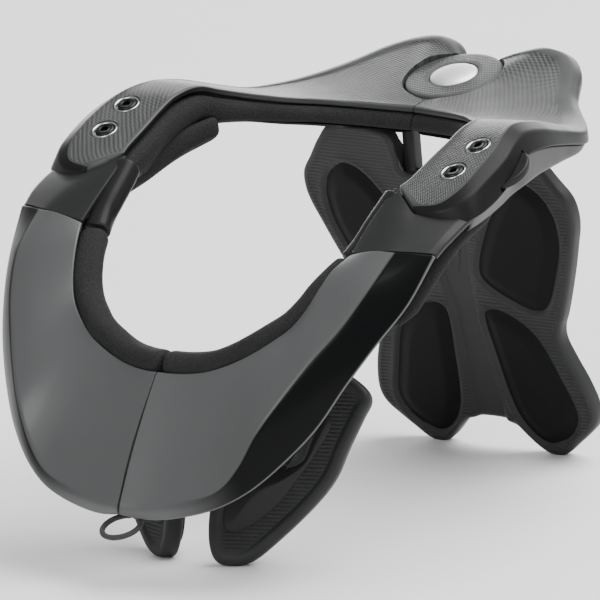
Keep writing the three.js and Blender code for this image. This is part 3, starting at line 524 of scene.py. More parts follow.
# Materials: each is a small node graph in millimetres of real scale.
class Look:
    """A material, with short steps for building its node graph."""

    def __init__(self, name):
        self.mat = bpy.data.materials.new(name)
        self.mat.use_nodes = True
        self.tree = self.mat.node_tree
        self.shader = self.tree.nodes["Principled BSDF"]

    def feed(self, node, inputs):
        """Links each named input of a node, or sets its value."""
        for key, value in inputs.items():
            if isinstance(value, bpy.types.NodeSocket):
                self.tree.links.new(value, node.inputs[key])
            else:
                node.inputs[key].default_value = value

    def add(self, kind, inputs, **settings):
        node = self.tree.nodes.new(kind)
        for key, value in settings.items():
            setattr(node, key, value)
        self.feed(node, inputs)
        return node

    def maths(self, kind, *values, clamp=False):
        node = self.add("ShaderNodeMath", dict(enumerate(values)), operation=kind, use_clamp=clamp)
        return node.outputs[0]

    def times(self, a, b, clamp=False):
        return self.maths("MULTIPLY", a, b, clamp=clamp)

    def plus(self, a, b):
        return self.maths("ADD", a, b)

    def minus(self, a, b):
        return self.maths("SUBTRACT", a, b)

    def mix(self, share, low, high):
        """A colour between two others."""
        low, high = ((*c, 1) if isinstance(c, tuple) else c for c in (low, high))
        return self.add("ShaderNodeMix", {0: share, 6: low, 7: high}, data_type="RGBA").outputs[2]

    def noise(self, size, detail=2.0):
        """Soft noise with features of about this size."""
        where = self.add("ShaderNodeTexCoord", {}).outputs["Object"]
        inputs = {"Vector": where, "Scale": 0.6 / (size * MM), "Detail": detail}
        return self.add("ShaderNodeTexNoise", inputs).outputs["Fac"]

    def mark(self, key, output="Fac"):
        return self.add("ShaderNodeAttribute", {}, attribute_name=key).outputs[output]

    def weave(self, pitch, twill):
        """Small raised bumps over the mark called weave, which is in millimetres."""
        split = self.add("ShaderNodeSeparateXYZ", {"Vector": self.mark("weave", "Vector")})
        u, v = split.outputs[0], split.outputs[1]
        slanted = self.plus(v, self.times(u, twill))
        waves = [self.maths("SINE", self.times(x, 2 * math.pi / pitch)) for x in (u, slanted)]
        return self.plus(self.times(self.times(*waves), 0.5), 0.5)

    def finish(self, height, depth, **inputs):
        """Feeds the shader and its relief, and gives the finished material."""
        relief = self.add("ShaderNodeBump", {"Height": height, "Distance": depth * MM, "Strength": 1.0})
        self.feed(self.shader, {key.replace("_", " "): value for key, value in inputs.items()})
        self.feed(self.shader, {"Normal": relief.outputs["Normal"]})
        return self.mat


def plastic(name, dark, light, rough, grain, specular, edge_paling):
    """Moulded plastic: uneven tone, fine grain, faint smears in the gloss and paler sharp edges."""
    look = Look(name)
    tone = look.mix(look.noise(22, 3), dark, light)
    # Sharp edges, found by pointiness, are mixed towards a paler tone.
    edge = look.add("ShaderNodeNewGeometry", {}).outputs["Pointiness"]
    paler_edges = look.times(look.times(look.minus(edge, 0.5), 9), edge_paling, clamp=True)
    tone = look.mix(paler_edges, tone, tuple(c * 2.2 + 0.02 for c in light))
    smears = look.plus(look.times(look.noise(9, 4), 0.12), rough - 0.06)
    return look.finish(look.noise(0.35), grain, Base_Color=tone, Roughness=smears,
                       Specular_IOR_Level=specular)


def shell_gloss():
    """Grey glossy face that turns nearly black beyond the crease, and is painted nearly black as painted
    shade on the inner rim and underside.
    """
    look = Look("gloss_shell")
    band_and_shade = look.mark("band_and_shade")
    face = look.mix(look.noise(30), (0.06, 0.0615, 0.0625), (0.069, 0.0705, 0.0715))
    # The mark also paints shade: the inner rim and underside are painted nearly black.
    tone = look.mix(band_and_shade, face, (0.003, 0.0032, 0.0035))
    smears = look.plus(look.times(look.noise(14, 4), 0.06), 0.34)
    specular = look.minus(0.36, look.times(band_and_shade, 0.31))
    return look.finish(look.noise(0.5), 0.004, Base_Color=tone, Roughness=smears,
                       Specular_IOR_Level=specular, Coat_Weight=0.06, Coat_Roughness=0.16)


def blend_of(low, high, share):
    return tuple(a + (b - a) * share for a, b in zip(low, high))


def woven(name, dark, light, pitch, depth, rough=0.42, twill=0.5, specular=0.4):
    """Moulded plate with a fine weave in its field, smooth borders and darker shaded parts."""
    look = Look(name)
    field = look.mark("field")
    shade = look.mark("shade")
    weave = look.weave(pitch, twill)
    plain = look.mix(look.noise(18, 3), blend_of(dark, light, 0.42), blend_of(dark, light, 0.58))
    tone = look.mix(field, plain, look.mix(weave, dark, light))
    tone = look.mix(shade, tone, (0.006, 0.006, 0.0065))
    smears = look.plus(look.times(look.noise(7, 3), 0.12), rough - 0.06)
    shine = look.minus(specular, look.times(shade, specular * 0.6))
    height = look.plus(look.times(weave, field), look.times(look.noise(0.4), 0.12))
    return look.finish(height, depth, Base_Color=tone, Roughness=smears, Specular_IOR_Level=shine)


def foam(name, dark, light, cell=0.9, depth=0.3, rough=0.75, sheen=0.01, specular=0.1):
    """Soft foam skin: pebbled cells, open pores and a faint bloom."""
    look = Look(name)
    where = look.add("ShaderNodeTexCoord", {}).outputs["Object"]
    cells = look.add("ShaderNodeTexVoronoi", {"Vector": where, "Scale": 1 / (cell * MM)})
    pebbles = look.plus(cells.outputs["Distance"], look.noise(cell * 0.7, 3))
    tone = look.mix(look.times(pebbles, 0.75, clamp=True), dark, light)
    tone = look.mix(look.times(look.noise(16, 3), 0.5), tone, light)
    return look.finish(pebbles, depth, Base_Color=tone, Roughness=rough, Specular_IOR_Level=specular,
                       Sheen_Weight=sheen, Sheen_Roughness=0.5)


def metal(name, tone, rough, ring=0.35):
    """Turned metal with fine rings about the marked axis and small scratches."""
    look = Look(name)
    uneven = look.mix(look.noise(3, 3), tuple(c * 0.8 for c in tone), tone)
    scratches = look.plus(look.times(look.noise(1.2, 4), 0.14), rough - 0.05)
    rings = look.maths("SINE", look.times(look.mark("turned"), 2 * math.pi / ring))
    return look.finish(rings, 0.006, Base_Color=uneven, Metallic=1.0, Roughness=scratches)


def braided():
    """Braided cord: two crossed sets of strands around it."""
    look = Look("cord")
    weave = look.weave(1.1, 1.0)
    tone = look.mix(weave, (0.012, 0.012, 0.013), (0.04, 0.04, 0.042))
    return look.finish(weave, 0.2, Base_Color=tone, Roughness=0.7)


MATTE = plastic("matte_frame", (0.01, 0.0102, 0.0105), (0.016, 0.0163, 0.0166),
                rough=0.42, grain=0.03, specular=0.25, edge_paling=0.25)
PLATE = plastic("plate_matte", (0.012, 0.0123, 0.0127), (0.016, 0.0164, 0.0168),
                rough=0.44, grain=0.02, specular=0.2, edge_paling=0.15)
SATIN = plastic("satin_cover", (0.008, 0.0082, 0.0084), (0.013, 0.0132, 0.0135),
                rough=0.38, grain=0.012, specular=0.15, edge_paling=0.3)
BASE = plastic("base_satin", (0.01, 0.0102, 0.0105), (0.016, 0.0163, 0.0166),
               rough=0.4, grain=0.03, specular=0.26, edge_paling=0.2)
GLOSS = shell_gloss()
WOVEN = woven("woven_plate", (0.012, 0.0125, 0.013), (0.075, 0.0765, 0.078), pitch=2.5, depth=0.32)
MESHED = woven("moulded_foam", (0.004, 0.0042, 0.0045), (0.044, 0.0445, 0.045), pitch=2.1, depth=0.45,
               rough=0.5, twill=1.0, specular=0.25)
FOAM = foam("foam", (0.002, 0.002, 0.0022), (0.022, 0.022, 0.023))
SOFT = foam("soft_pad", (0.0025, 0.0026, 0.003), (0.006, 0.0062, 0.0066), cell=0.5, depth=0.05,
            rough=0.55, sheen=0.0)
INSERT = foam("chest_insert", (0.007, 0.0071, 0.0074), (0.013, 0.0132, 0.0135), cell=0.5, depth=0.04,
              rough=0.5, sheen=0.02, specular=0.3)
CUP = metal("bolt_cup", (0.62, 0.63, 0.64), 0.2)
BOLT = metal("bolt_steel", (0.035, 0.035, 0.037), 0.28)
BUTTON = metal("button_metal", (0.98, 0.982, 0.985), 0.5, ring=0.6)
CORD = braided()

# Front shells: a swelled face, a crease, a band and a thin rounded wall. Towards the rear the
# crease lies nearer the edge by the listed shares, and is bulged out there.
SHELL_START = 0.0105
SHELL_WALL = 3.0
SHELL_SWELL = 2.2
SHELL_RADII = [1.3, 30, 30, 3.2, 30, 1.4, 1.2, 30, 3, 30, 30, 1]
CREASE_BULGE = 7.0
CREASE_SHIFT = [0, 0, 0, 0, 0.02, 0.14, 0.21, 0.28, 0.34, 0.3, 0.2]
BAND_ROWS = (1.6, 4.0)


def thick(grid, normal, wall):
    """Closed sections of a wall below a face."""
    return np.concatenate([grid, (grid - normal * wall)[:, ::-1]], 1)


def off_seam(rings):
    """Keeps the rings on their own side of the seam between the halves."""
    rings[..., 0] = np.maximum(rings[..., 0], GAP)
    return rings


def shell_shape():
    """Rings of the shell, and a mark for its dark band and for the painted shade on its inner rim and
    underside.
    """
    ts = steps(len(SHELL_ROWS) - 1, 9, start=SHELL_START)
    rim, crease, edge = (curve(shares(SHELL_ROWS, k), ts) for k in range(3))
    shift = curve(np.outer(CREASE_SHIFT, (1, 0, 0)), ts)[:, :1]
    bulge = unit(unit(crease - rim) + unit(crease - edge)) * CREASE_BULGE
    crease = crease + (edge - crease) * shift + bulge * shift
    lines = [rim + (crease - rim) * t for t in (0, 0.33, 0.68)]
    lines += [crease + (edge - crease) * t for t in (0, 0.5, 1)]
    grid = np.stack(lines, 1)
    grid += row_normals(grid) * (np.array([0, 0.8, 1, 0, 0.5, 0]) * SHELL_SWELL)[None, :, None]
    corners = thick(grid, row_normals(grid), SHELL_WALL)
    rings = off_seam(soft_ends(np.stack([rounded(c, SHELL_RADII, 6) for c in corners]), 0.9))
    across = np.arange(rings.shape[1]) / 7
    face = smooth(across, 3.4, 3.52) * (1 - smooth(across, 5.0, 5.1))
    # Painted shade: the rounded inner rim and the whole underside are marked nearly as dark as the band.
    painted_shade_wall = np.maximum(smooth(across, 5.9, 6.1), 1 - smooth(across, 0.1, 0.35))
    row = ts * (len(SHELL_ROWS) - 1)
    along = smooth(np.linspace(row[0], row[-1], len(rings)), *BAND_ROWS)
    band_and_shade = np.maximum(along[:, None] * face[None], painted_shade_wall[None] * 0.9)
    return rings, band_and_shade.ravel()


def both(name, shape, material, marks=None, cutters=None, sharp=SHARP, body="half",
         stands=True):
    """The piece on both sides, each riding its own half, its lever or the hub."""
    for side, made in (("left", shape), ("right", mirror(shape))):
        tools = cutters(side) if cutters else ()
        rides = "hub" if body == "hub" else side + "_" + body
        solids = [side + "_" + name] if stands else ()
        piece(side + "_" + name + "_look", made, rides, material, solids, marks, tools, sharp)


shell_rings, shell_band_and_shade = shell_shape()
both("front_shell", loft(shell_rings), GLOSS, {"band_and_shade": shell_band_and_shade})

# Side plates: a bare dark bridge with a folded outer lip.
PLATE_WALL = 3.0
PLATE_LIP = 0.14
PLATE_RELIEF = [0, 0.4, 0, 0.3, 0.2, -1.4]
PLATE_RADII = [1.0, 20, 4, 20, 1.2, 1.0, 1.0, 1, 20, 4, 20, 1]


def plate_shape():
    ts = steps(len(PLATE_ROWS) - 1, 12)
    inner, middle, outer = (curve(shares(PLATE_ROWS, k), ts) for k in range(3))
    lip = outer + (middle - outer) * PLATE_LIP
    lines = [inner, inner + (middle - inner) * 0.5, middle, middle + (lip - middle) * 0.5, lip, outer]
    grid = np.stack(lines, 1)
    normal = row_normals(grid)
    grid += normal * np.array(PLATE_RELIEF)[None, :, None]
    return np.stack([rounded(c, PLATE_RADII) for c in thick(grid, normal, PLATE_WALL)])


both("side_plate", loft(soft_ends(plate_shape(), 0.7)), PLATE)

# Rear frames: woven top, raised smooth borders, chamfer, side, and a lip over the foam roll.
TOP_WALL = 7.0
LIP_WALL = 3.3
PAD_RECESS = 5.2
BORDER = {"lip": 2.0, "slim": 0.8, "outer": 7.0, "end": 2.0, "step": 1.0, "rise": 0.45, "crown": 0.5}
BORDER_WIDENS = (85, 135)
SHADE_FADES = (75, 125)
ROLL = {"depth": 16.6, "thinning": 0.24, "low": -0.1, "high": 0.5}
frame_ts = steps(len(FRAME_ROWS) - 1, 6)
frame_curves = [curve(shares(FRAME_ROWS, k), frame_ts) for k in range(4)]


def lip_points(inner, crease, step, drop):
    across = unit(crease - inner)
    return inner + across * step + np.array([0, 0, 1.0]) * np.reshape(drop, (-1, 1))


def roll_depth(inner):
    share = smooth(inner[:, 1] / FRONT_REACH, ROLL["low"], ROLL["high"])
    return ROLL["depth"] * (1 - ROLL["thinning"] * share)


def frame_section(inner, crease, chamfer, foot, normal, s):
    """One ring of the frame at the distance s, with its marks: field, place in the weave and shade."""
    lip, step = BORDER["lip"], BORDER["step"]
    wide = smooth(s, *BORDER_WIDENS)
    outer = BORDER["slim"] + (BORDER["outer"] - BORDER["slim"]) * wide
    w = np.linalg.norm(crease - inner)
    near = [1.2, lip, lip + 0.5 * step, lip + step]
    far = [outer + step, outer + 0.5 * step, outer, outer * 0.5]
    d = np.array(near + list(np.linspace(near[-1], w - far[0], 16)[1:-1]) + [w - f for f in far])
    mask = smooth(d, lip, lip + step) * smooth(w - d, outer, outer + step)
    mask = mask * smooth(s, BORDER["end"], BORDER["end"] + step)
    raised = BORDER["rise"] * (1 - mask) * smooth(d, 0, 2) * smooth(w - d, 0, 2.5)
    crown = BORDER["crown"] * np.sin(np.clip(d / w, 0, 1) * math.pi)
    top = inner + (crease - inner) * (d / w)[:, None] + normal * (crown + raised)[:, None]
    low, high = (lip_points(inner, crease, PAD_RECESS, -wall)[0] for wall in (TOP_WALL, LIP_WALL))
    lip_low = lip_points(inner, crease, 0, -LIP_WALL + 0.6)[0]
    ring = np.vstack([
        top, rounded_corner(crease, top[-1], chamfer, 1.3 + wide), rounded_corner(chamfer, crease, foot, 1.8),
        rounded_corner(foot, chamfer, low, 1.0), low, high, rounded_corner(lip_low, high, inner, 1.0),
        rounded_corner(inner, lip_low, top[0], 1.2)])
    rest = len(ring) - len(top)
    side = [0, 0, 0.4, 0.9, 1] + [1] * (rest - 10) + [1, 1, 0.6, 0.2, 0]
    shade = np.concatenate([np.zeros(len(top)), side]) * (1 - 0.6 * smooth(s, *SHADE_FADES))
    across = np.concatenate([d, np.full(rest, w)])
    weave = np.column_stack([np.full(len(ring), s), across, np.zeros(len(ring))])
    return ring, np.concatenate([mask, np.zeros(rest)]), weave, shade


def frame_shape():
    inner, crease = frame_curves[:2]
    middle = (inner + crease) / 2
    normal = unit(np.cross(crease - inner, unit(np.gradient(middle, axis=0))))
    sections = [frame_section(*parts) for parts in zip(*frame_curves, normal, run_along(middle))]
    rings, field, weave, shade = zip(*sections)
    marks = {"field": np.concatenate(field), "weave": np.concatenate(weave), "shade": np.concatenate(shade)}
    return soft_ends(np.array(rings), 1.0, rear=False), marks


x_out = np.array([1.0, 0, 0])
hub_middle = np.array([0, 0.9647 * FRONT_REACH, 1.0085 * RISE])
hub_front = np.array([0, 0.7227 * FRONT_REACH, 0.887 * RISE])
hub_axis = np.cross(x_out, unit(hub_middle - hub_front))
hub_frame = basis(x_out, np.cross(hub_axis, x_out), hub_axis, hub_middle)
DISC_SIZE = {"radius": 26.6, "rise": 1.2, "depth": 7, "bore": 13.4, "recess": 2.6}
DISC_CLEARANCE = 1.2
CUP_SIZE = {"outer": 7.1, "inner": 5.7, "depth": 3.4, "floor": 1.0, "rise": 0.5}
CUP_CLEARANCE = 0.3
BOLT_SIZE = {"radius": 5.3, "height": 3.0, "socket": 2.3}
SOCKET_DEPTH = 1.8
SEATS = (("front", 5.2, 0.6), ("rear", 8.0, 0.64))


def seat_frame(station, across):
    """A seat on the frame's top, at this many half rows and this share of its width."""
    first = math.floor(station)
    ts = np.array([first, first + 1]) / (2 * (len(FRAME_ROWS) - 1))
    inner, crease = (curve(shares(FRAME_ROWS, k), ts) for k in (0, 1))
    blend = station - first
    at_inner, at_crease = (a[0] + (a[1] - a[0]) * blend for a in (inner, crease))
    along = unit(inner[1] - inner[0])
    outwards = unit(at_crease - at_inner)
    normal = unit(np.cross(outwards, along))
    side = -np.cross(normal, outwards)
    return basis(side, np.cross(normal, side), normal, at_inner + (at_crease - at_inner) * across)


LEVER = {"length": 24.0, "reach": 10.5, "root": 3.4, "thickness": 4.4, "clearance": 0.7, "room": 2.2,
         "slot": 24.0}
LEVER_PIVOT = np.array([0.961 * HALF_WIDTH, 0.0353 * FRONT_REACH, 0.744 * RISE])
LEVER_RISE = math.radians(31.7)
lever_frame = basis((0, math.cos(LEVER_RISE), math.sin(LEVER_RISE)), (-1, 0, 0),
                    (0, -math.sin(LEVER_RISE), math.cos(LEVER_RISE)), LEVER_PIVOT)


def quarter_turn(radius, count):
    angles = np.linspace(math.pi / 2, math.pi, count)
    return [(radius * math.cos(a), radius * math.sin(a)) for a in angles]


def lever_outline():
    length, reach, root = LEVER["length"], LEVER["reach"], LEVER["root"]
    t = np.linspace(0, 1, 30)[1:, None]
    p = np.array([(-root, 0), (-root * 0.3, -reach * 1.3), (length * 0.75, -reach * 1.3), (length, -root)])
    belly = (1 - t) ** 3 * p[0] + 3 * t * (1 - t) ** 2 * p[1] + 3 * t ** 2 * (1 - t) * p[2] + t ** 3 * p[3]
    return np.vstack([[(length, root), (length * 0.5, root)], quarter_turn(root, 10), belly])


def slot_cutter(side):
    room = LEVER["root"] + LEVER["room"]
    end = LEVER["length"] + LEVER["clearance"]
    outside = -LEVER["slot"]
    flat = np.array([(end, room)] + quarter_turn(room, 16) + [(-room * 1.8, outside), (end, outside)])
    half = LEVER["thickness"] / 2 + LEVER["clearance"]
    rings = [place(np.column_stack([flat, np.full(len(flat), z)]), lever_frame) for z in (-half, half)]
    return cutter_of(loft(rings), side == "right")


def midline_cutter(side):
    """A block over the other half, so that the two halves meet with a small gap."""
    corners = [(x, y, z) for x in (-90, GAP) for y in (-200, 300) for z in (-200, 300)]
    faces = [(0, 1, 3, 2), (4, 6, 7, 5), (0, 4, 5, 1), (2, 3, 7, 6), (0, 2, 6, 4), (1, 5, 7, 3)]
    return cutter_of((np.array(corners, float), faces), side == "right")


def frame_cutters(side):
    flip = side == "right"
    radius = CUP_SIZE["outer"] + CUP_CLEARANCE
    low = -CUP_SIZE["depth"] - CUP_CLEARANCE
    tools = [post(radius, low, 12, seat_frame(s, a), flip=flip) for _, s, a in SEATS]
    tools.append(post(DISC_SIZE["radius"] + DISC_CLEARANCE, -30, 30, hub_frame, segments=160))
    return tools + [slot_cutter(side), midline_cutter(side)]


frame_rings, frame_marks = frame_shape()
both("rear_frame", loft(frame_rings), WOVEN, frame_marks, frame_cutters)

# Rear bases: the lower shell below each rear frame.
BASE_HUB_RADIUS = 40.0
BASE_RADII = [1.2, 1, 1, 0.6, 1.6, 4]


def base_shape():
    ts = steps(len(BASE_ROWS) - 1, 6)
    at = (2 + ts * (len(BASE_ROWS) - 1)) / (len(FRAME_ROWS) - 1)
    inner, crease, _, foot = (curve(shares(FRAME_ROWS, k), at) for k in range(4))
    low, outer = (curve(shares(BASE_ROWS, k), ts) for k in range(2))
    under = lip_points(inner, crease, PAD_RECESS, -TOP_WALL)
    top = foot + unit(under - foot) * 1.5 - (0, 0, GAP)
    below = -roll_depth(inner) - GAP * 2
    step_out = lip_points(inner, crease, PAD_RECESS, below)
    step_in = lip_points(inner, crease, 1.2, below)
    low[:, 2] = np.minimum(low[:, 2], step_in[:, 2] - 1)
    corners = np.stack([top, under - (0, 0, GAP), step_out, step_in, low, outer], 1)
    return np.stack([rounded(c, BASE_RADII, 6) for c in corners])


def base_cutters(side):
    return [post(BASE_HUB_RADIUS, -300, 300, hub_frame, segments=160), slot_cutter(side)]


both("rear_base", loft(soft_ends(base_shape(), 1.2)), BASE, cutters=base_cutters)

# Foam rolls and the smooth cover roll. The rear roll is fuller at its front, the front roll is
# pressed outward under the shell's rim, and the shoulder pads are tilted and raised to the base.
FRONT_ROLL = (6.8, 7.4)
COVER_ROLL = (6.6, 7.0)
SHOULDER_ROLL = (14.0, 6.0)
REAR_ROLL_RADII = [5, 4, 3, 0.6, 0.8, 0.8, 2, 3]
FULLER = {"full": 0.15, "none": 0.6, "down": 0.4, "out": 0.5}
PRESSED = 0.28
SHOULDER_TILT = 0.4
SHOULDER_LIFT = 0.9


def rear_roll_shape():
    rows = len(FRAME_ROWS) - 1
    ts = steps(rows, 6, start=0.5 / rows)
    inner, crease = (curve(shares(FRAME_ROWS, k), ts) for k in (0, 1))
    thinned = ROLL["depth"] - roll_depth(inner)
    fuller = 1 - smooth(inner[:, 1] / FRONT_REACH, FULLER["full"], FULLER["none"])
    section = []
    for across, drop in np.array(REAR_PAD_SECTION) / 1000:
        fall = drop * ROLL["depth"] * (1 + FULLER["down"] * fuller) + max(0, -drop * 2 - 1) * thinned
        step = across * ROLL["depth"] * (1 + fuller * (FULLER["out"] if across < 0 else 0))
        section.append(lip_points(inner, crease, step[:, None], fall))
    return soft_ends(off_seam(np.stack([rounded(c, REAR_ROLL_RADII, 6) for c in np.stack(section, 1)])), 2.2)


def front_roll_shape():
    rings = roll_rings(FRONT_PAD_ROWS, FRONT_ROLL, steps(len(FRONT_PAD_ROWS) - 1, 8, start=0.011), 48, 0.85)
    middle = rings.mean(axis=1)
    outward = rings - middle[:, None]
    outward[..., 2] = 0
    away = unit(middle * (1, 1, 0))[:, None, :]
    rings = rings + away * PRESSED * np.maximum((outward * away).sum(-1, keepdims=True), 0)
    return off_seam(soft_ends(rings, 3.4))


def shoulder_shape():
    rings = roll_rings(SHOULDER_PAD_ROWS, SHOULDER_ROLL, steps(len(SHOULDER_PAD_ROWS) - 1, 8), 48, 0.8)
    inward = np.minimum(rings[..., 0] - rings[..., 0].mean(axis=1, keepdims=True), 0)
    rings[..., 2] -= SHOULDER_TILT * inward
    middle = rings[..., 2].mean(axis=1, keepdims=True)
    rings[..., 2] += SHOULDER_LIFT * np.maximum(rings[..., 2] - middle, 0)
    return soft_ends(rings, 4)


both("rear_pad", loft(rear_roll_shape()), FOAM)
both("front_pad", loft(front_roll_shape()), FOAM)
cover_ts = steps(len(COVER_ROWS) - 1, 10, start=-0.02, end=1.03)
cover_roll = roll_rings(COVER_ROWS, COVER_ROLL, cover_ts, 48, 0.8)
both("inner_cover", loft(soft_ends(cover_roll, 1.2)), SATIN)
both("shoulder_pad", loft(shoulder_shape()), FOAM)


# Release levers, bolt cups and bolts.
def flat_face(top, edge):
    return lambda p, d: top - edge_drop(d, edge)


def flat_back(top, edge=None):
    return lambda p, d: top + (edge_drop(d, edge) if edge else 0 * d)


half_lever = LEVER["thickness"] / 2
lever_shape = slab(lever_outline(), flat_face(half_lever, 1.3), flat_back(-half_lever, 1.3), lever_frame,
                   count=120, rings=8, inset=1.4)[0]
both("release_lever", lever_shape, SATIN, body="lever")
TURNED_SHARP = math.radians(50)


def places_in(shape, m):
    """A shape's points in the frame m, and their distances from its axis."""
    local = (shape[0] - m[:3, 3]) @ m[:3, :3]
    return local, np.hypot(local[:, 0], local[:, 1])


def turned_piece(name, profile, seat, material, cutter=None):
    shape = lathe(profile, 72, seat)
    both(name, shape, material, {"turned": places_in(shape, seat)[1]}, cutter, sharp=TURNED_SHARP)


def cup_profile(outer, inner, depth, floor, rise):
    return [(0, -depth), (outer, -depth), (outer, rise - 0.5), (outer - 0.15, rise - 0.18),
            (outer - 0.5, rise), (inner + 0.6, rise - 0.1), (inner + 0.1, rise - 0.6),
            (inner, rise - 1.1), (inner, floor - depth), (0, floor - depth)]


def bolt_profile(low, radius, height, socket):
    high = low + height
    return [(0, low), (radius, low), (radius, high - 0.9), (radius - 0.25, high - 0.35),
            (radius - 0.8, high - 0.05), (radius - 1.1, high), (socket + 0.5, high),
            (socket + 0.05, high - 0.35), (0, high - 0.35)]


bolt_low = CUP_SIZE["floor"] - CUP_SIZE["depth"] + GAP
bolt_high = bolt_low + BOLT_SIZE["height"]
for seat_name, station, across in SEATS:
    seat = seat_frame(station, across)

    def socket_cutter(side, seat=seat):
        low = bolt_high - SOCKET_DEPTH
        return [post(BOLT_SIZE["socket"], low, bolt_high + 1, seat, segments=6, flip=side == "right")]

    turned_piece(seat_name + "_bolt_cup", cup_profile(**CUP_SIZE), seat, CUP)
    turned_piece(seat_name + "_bolt", bolt_profile(bolt_low, **BOLT_SIZE), seat, BOLT,
                 socket_cutter)


# Hub: a disc with the same weave round a domed button.
def disc_profile(radius, rise, depth, bore, recess):
    shoulder = [(radius - 1.4 * (1 - math.cos(a)), rise - 1.6 + 1.4 * math.sin(a))
                for a in np.linspace(0, math.pi / 2, 8)[1:]]
    slope = [(r, rise - 0.2 + 0.7 * (1 - (r - bore) / (radius - bore)))
             for r in np.linspace(radius - 2.4, bore + 1.4, 16)]
    return [(0, -depth), (radius, -depth), (radius, rise - 1.6), *shoulder, *slope, (bore + 0.5, rise + 0.35),
            (bore, rise - 0.2), (bore, rise - recess), (0, rise - recess)]


disc_shape = lathe(disc_profile(**DISC_SIZE), 160, hub_frame)
local, radius = places_in(disc_shape, hub_frame)
inner_field = smooth(radius, DISC_SIZE["bore"] + 2.2, DISC_SIZE["bore"] + 3)
disc_field = inner_field * (1 - smooth(radius, DISC_SIZE["radius"] - 2.6, DISC_SIZE["radius"] - 1.8))
piece("hub_disc_look", disc_shape, "hub", WOVEN, ["hub_disc"],
      {"field": disc_field * (local[:, 2] > 0), "weave": local})
BUTTON_RADIUS = 13.0
BUTTON_SIDE = 1.8
BUTTON_DOME = 3.0
button_low = DISC_SIZE["rise"] - DISC_SIZE["recess"] + GAP
dome_low = button_low + BUTTON_SIDE
button_profile = [(0, button_low), (BUTTON_RADIUS, button_low), (BUTTON_RADIUS, dome_low - 0.4)]
for a in np.linspace(0.06, 1, 22)[:-1] * (math.pi / 2):
    button_profile.append((BUTTON_RADIUS * math.cos(a) ** 0.8, dome_low + BUTTON_DOME * math.sin(a)))
button_profile.append((0, dome_low + BUTTON_DOME))
button_shape = lathe(button_profile, 128, hub_frame)
piece("hub_button_look", button_shape, "hub", BUTTON, ["hub_button"],
      {"turned": places_in(button_shape, hub_frame)[1]}, sharp=TURNED_SHARP)

# Chest wings: a rimmed plate with a mesh band round a crowned soft insert, and a body-side pad.
WING_HEIGHT = 103.6
WING_THICKNESS = 8.0
CHEST_PAD_THICKNESS = 9.0
STRUT_ROLL = (12.0, 2.6)
STRUT_SET_BACK = (0, 2.5, 0)
wing_across = unit(np.array([0.917, 0.399, 0]))
wing_normal = unit(np.array([-0.397, 0.913, -0.09]))
wing_origin = np.array([0.087 * HALF_WIDTH, -0.5787 * FRONT_REACH, -1.004 * RISE])
wing_frame = basis(wing_across, np.cross(wing_across, wing_normal), wing_normal, wing_origin)
wing_outline = spline_outline(WING_OUTLINE, WING_HEIGHT)
insert_outline = spline_outline(INSERT_OUTLINE, WING_HEIGHT)


def wing_front(p, d):
    return -0.9 + edge_drop(d, 3.2) + 1.1 * smooth(d, 5.5, 7.5)


def insert_front(p, d):
    return -0.4 - 3.0 * smooth(d, -2, 12) + edge_drop(d, 1.2) * 0.4


def chest_pad_back(p, d):
    return WING_THICKNESS + GAP + CHEST_PAD_THICKNESS * (0.45 + 0.55 * smooth(d, 0, 14)) - edge_drop(d, 2.6)


def flat_weave(p):
    """Places in the weave for both faces of a slab."""
    return np.tile(np.column_stack([p, np.zeros(len(p))]), (2, 1))


def shrunk(outline, inset):
    mid = outline.mean(axis=0)
    length = np.linalg.norm(outline - mid, axis=1, keepdims=True)
    return mid + (outline - mid) * (length - inset) / length


wing_shape, flat, edge = slab(wing_outline, flat_face(WING_THICKNESS, 2.2), wing_front, wing_frame, inset=4.0)
both("chest_wing", wing_shape, MESHED,
     {"field": np.tile(smooth(edge, 7.5, 8.6), 2), "weave": flat_weave(flat)})
strut_rings = STRUT_SET_BACK + roll_rings(STRUT_ROWS, STRUT_ROLL, steps(len(STRUT_ROWS) - 1, 6), 40, 0.6)
both("chest_strut", loft(strut_rings), MATTE, stands=False)
insert_shape = slab(insert_outline, flat_back(-0.2), insert_front, wing_frame)[0]
both("chest_insert", insert_shape, INSERT)
chest_pad_front = flat_back(WING_THICKNESS + GAP)
chest_pad_shape = slab(shrunk(wing_outline, 7.0), chest_pad_back, chest_pad_front, wing_frame)[0]
both("chest_pad", chest_pad_shape, FOAM)

# Back stabiliser: a plate with rolled edges, mesh borders, soft pads and a smooth middle channel.
STABILISER_HEIGHT = 191.0
STABILISER_THICKNESS = 8.0
STABILISER_LEAN = 21.2
CHANNEL_SOFT = 3.5
CHANNEL_DEPTH = 2.2
CHANNEL_STATIONS = [-160, -120, -85, -40, 10]
CHANNEL_HALVES = [12.5, 10, 9.5, 15, 13]
lean = math.radians(STABILISER_LEAN)
plate_out = np.array([0, math.cos(lean), math.sin(lean)])
plate_up = np.array([0, -math.sin(lean), math.cos(lean)])
plate_origin = np.array([0, 0.82 * FRONT_REACH, 0.536 * RISE])
stabiliser_frame = basis(x_out, plate_up, plate_out, plate_origin)
right_outline = [(-x, y) for x, y in STABILISER_OUTLINE[1:-1]][::-1]
stabiliser_outline = spline_outline(STABILISER_OUTLINE + right_outline, STABILISER_HEIGHT)
pad_outlines = {"upper": spline_outline(UPPER_PAD_OUTLINE, STABILISER_HEIGHT),
                "lower": spline_outline(LOWER_PAD_OUTLINE, STABILISER_HEIGHT)}


def inside_outline(points, ring):
    hits = np.zeros(len(points), bool)
    for a, b in zip(ring, np.roll(ring, -1, axis=0)):
        crosses = (a[1] > points[:, 1]) != (b[1] > points[:, 1])
        with np.errstate(divide="ignore", invalid="ignore"):
            x = (b[0] - a[0]) * (points[:, 1] - a[1]) / (b[1] - a[1]) + a[0]
        hits ^= crosses & (points[:, 0] < x)
    return hits


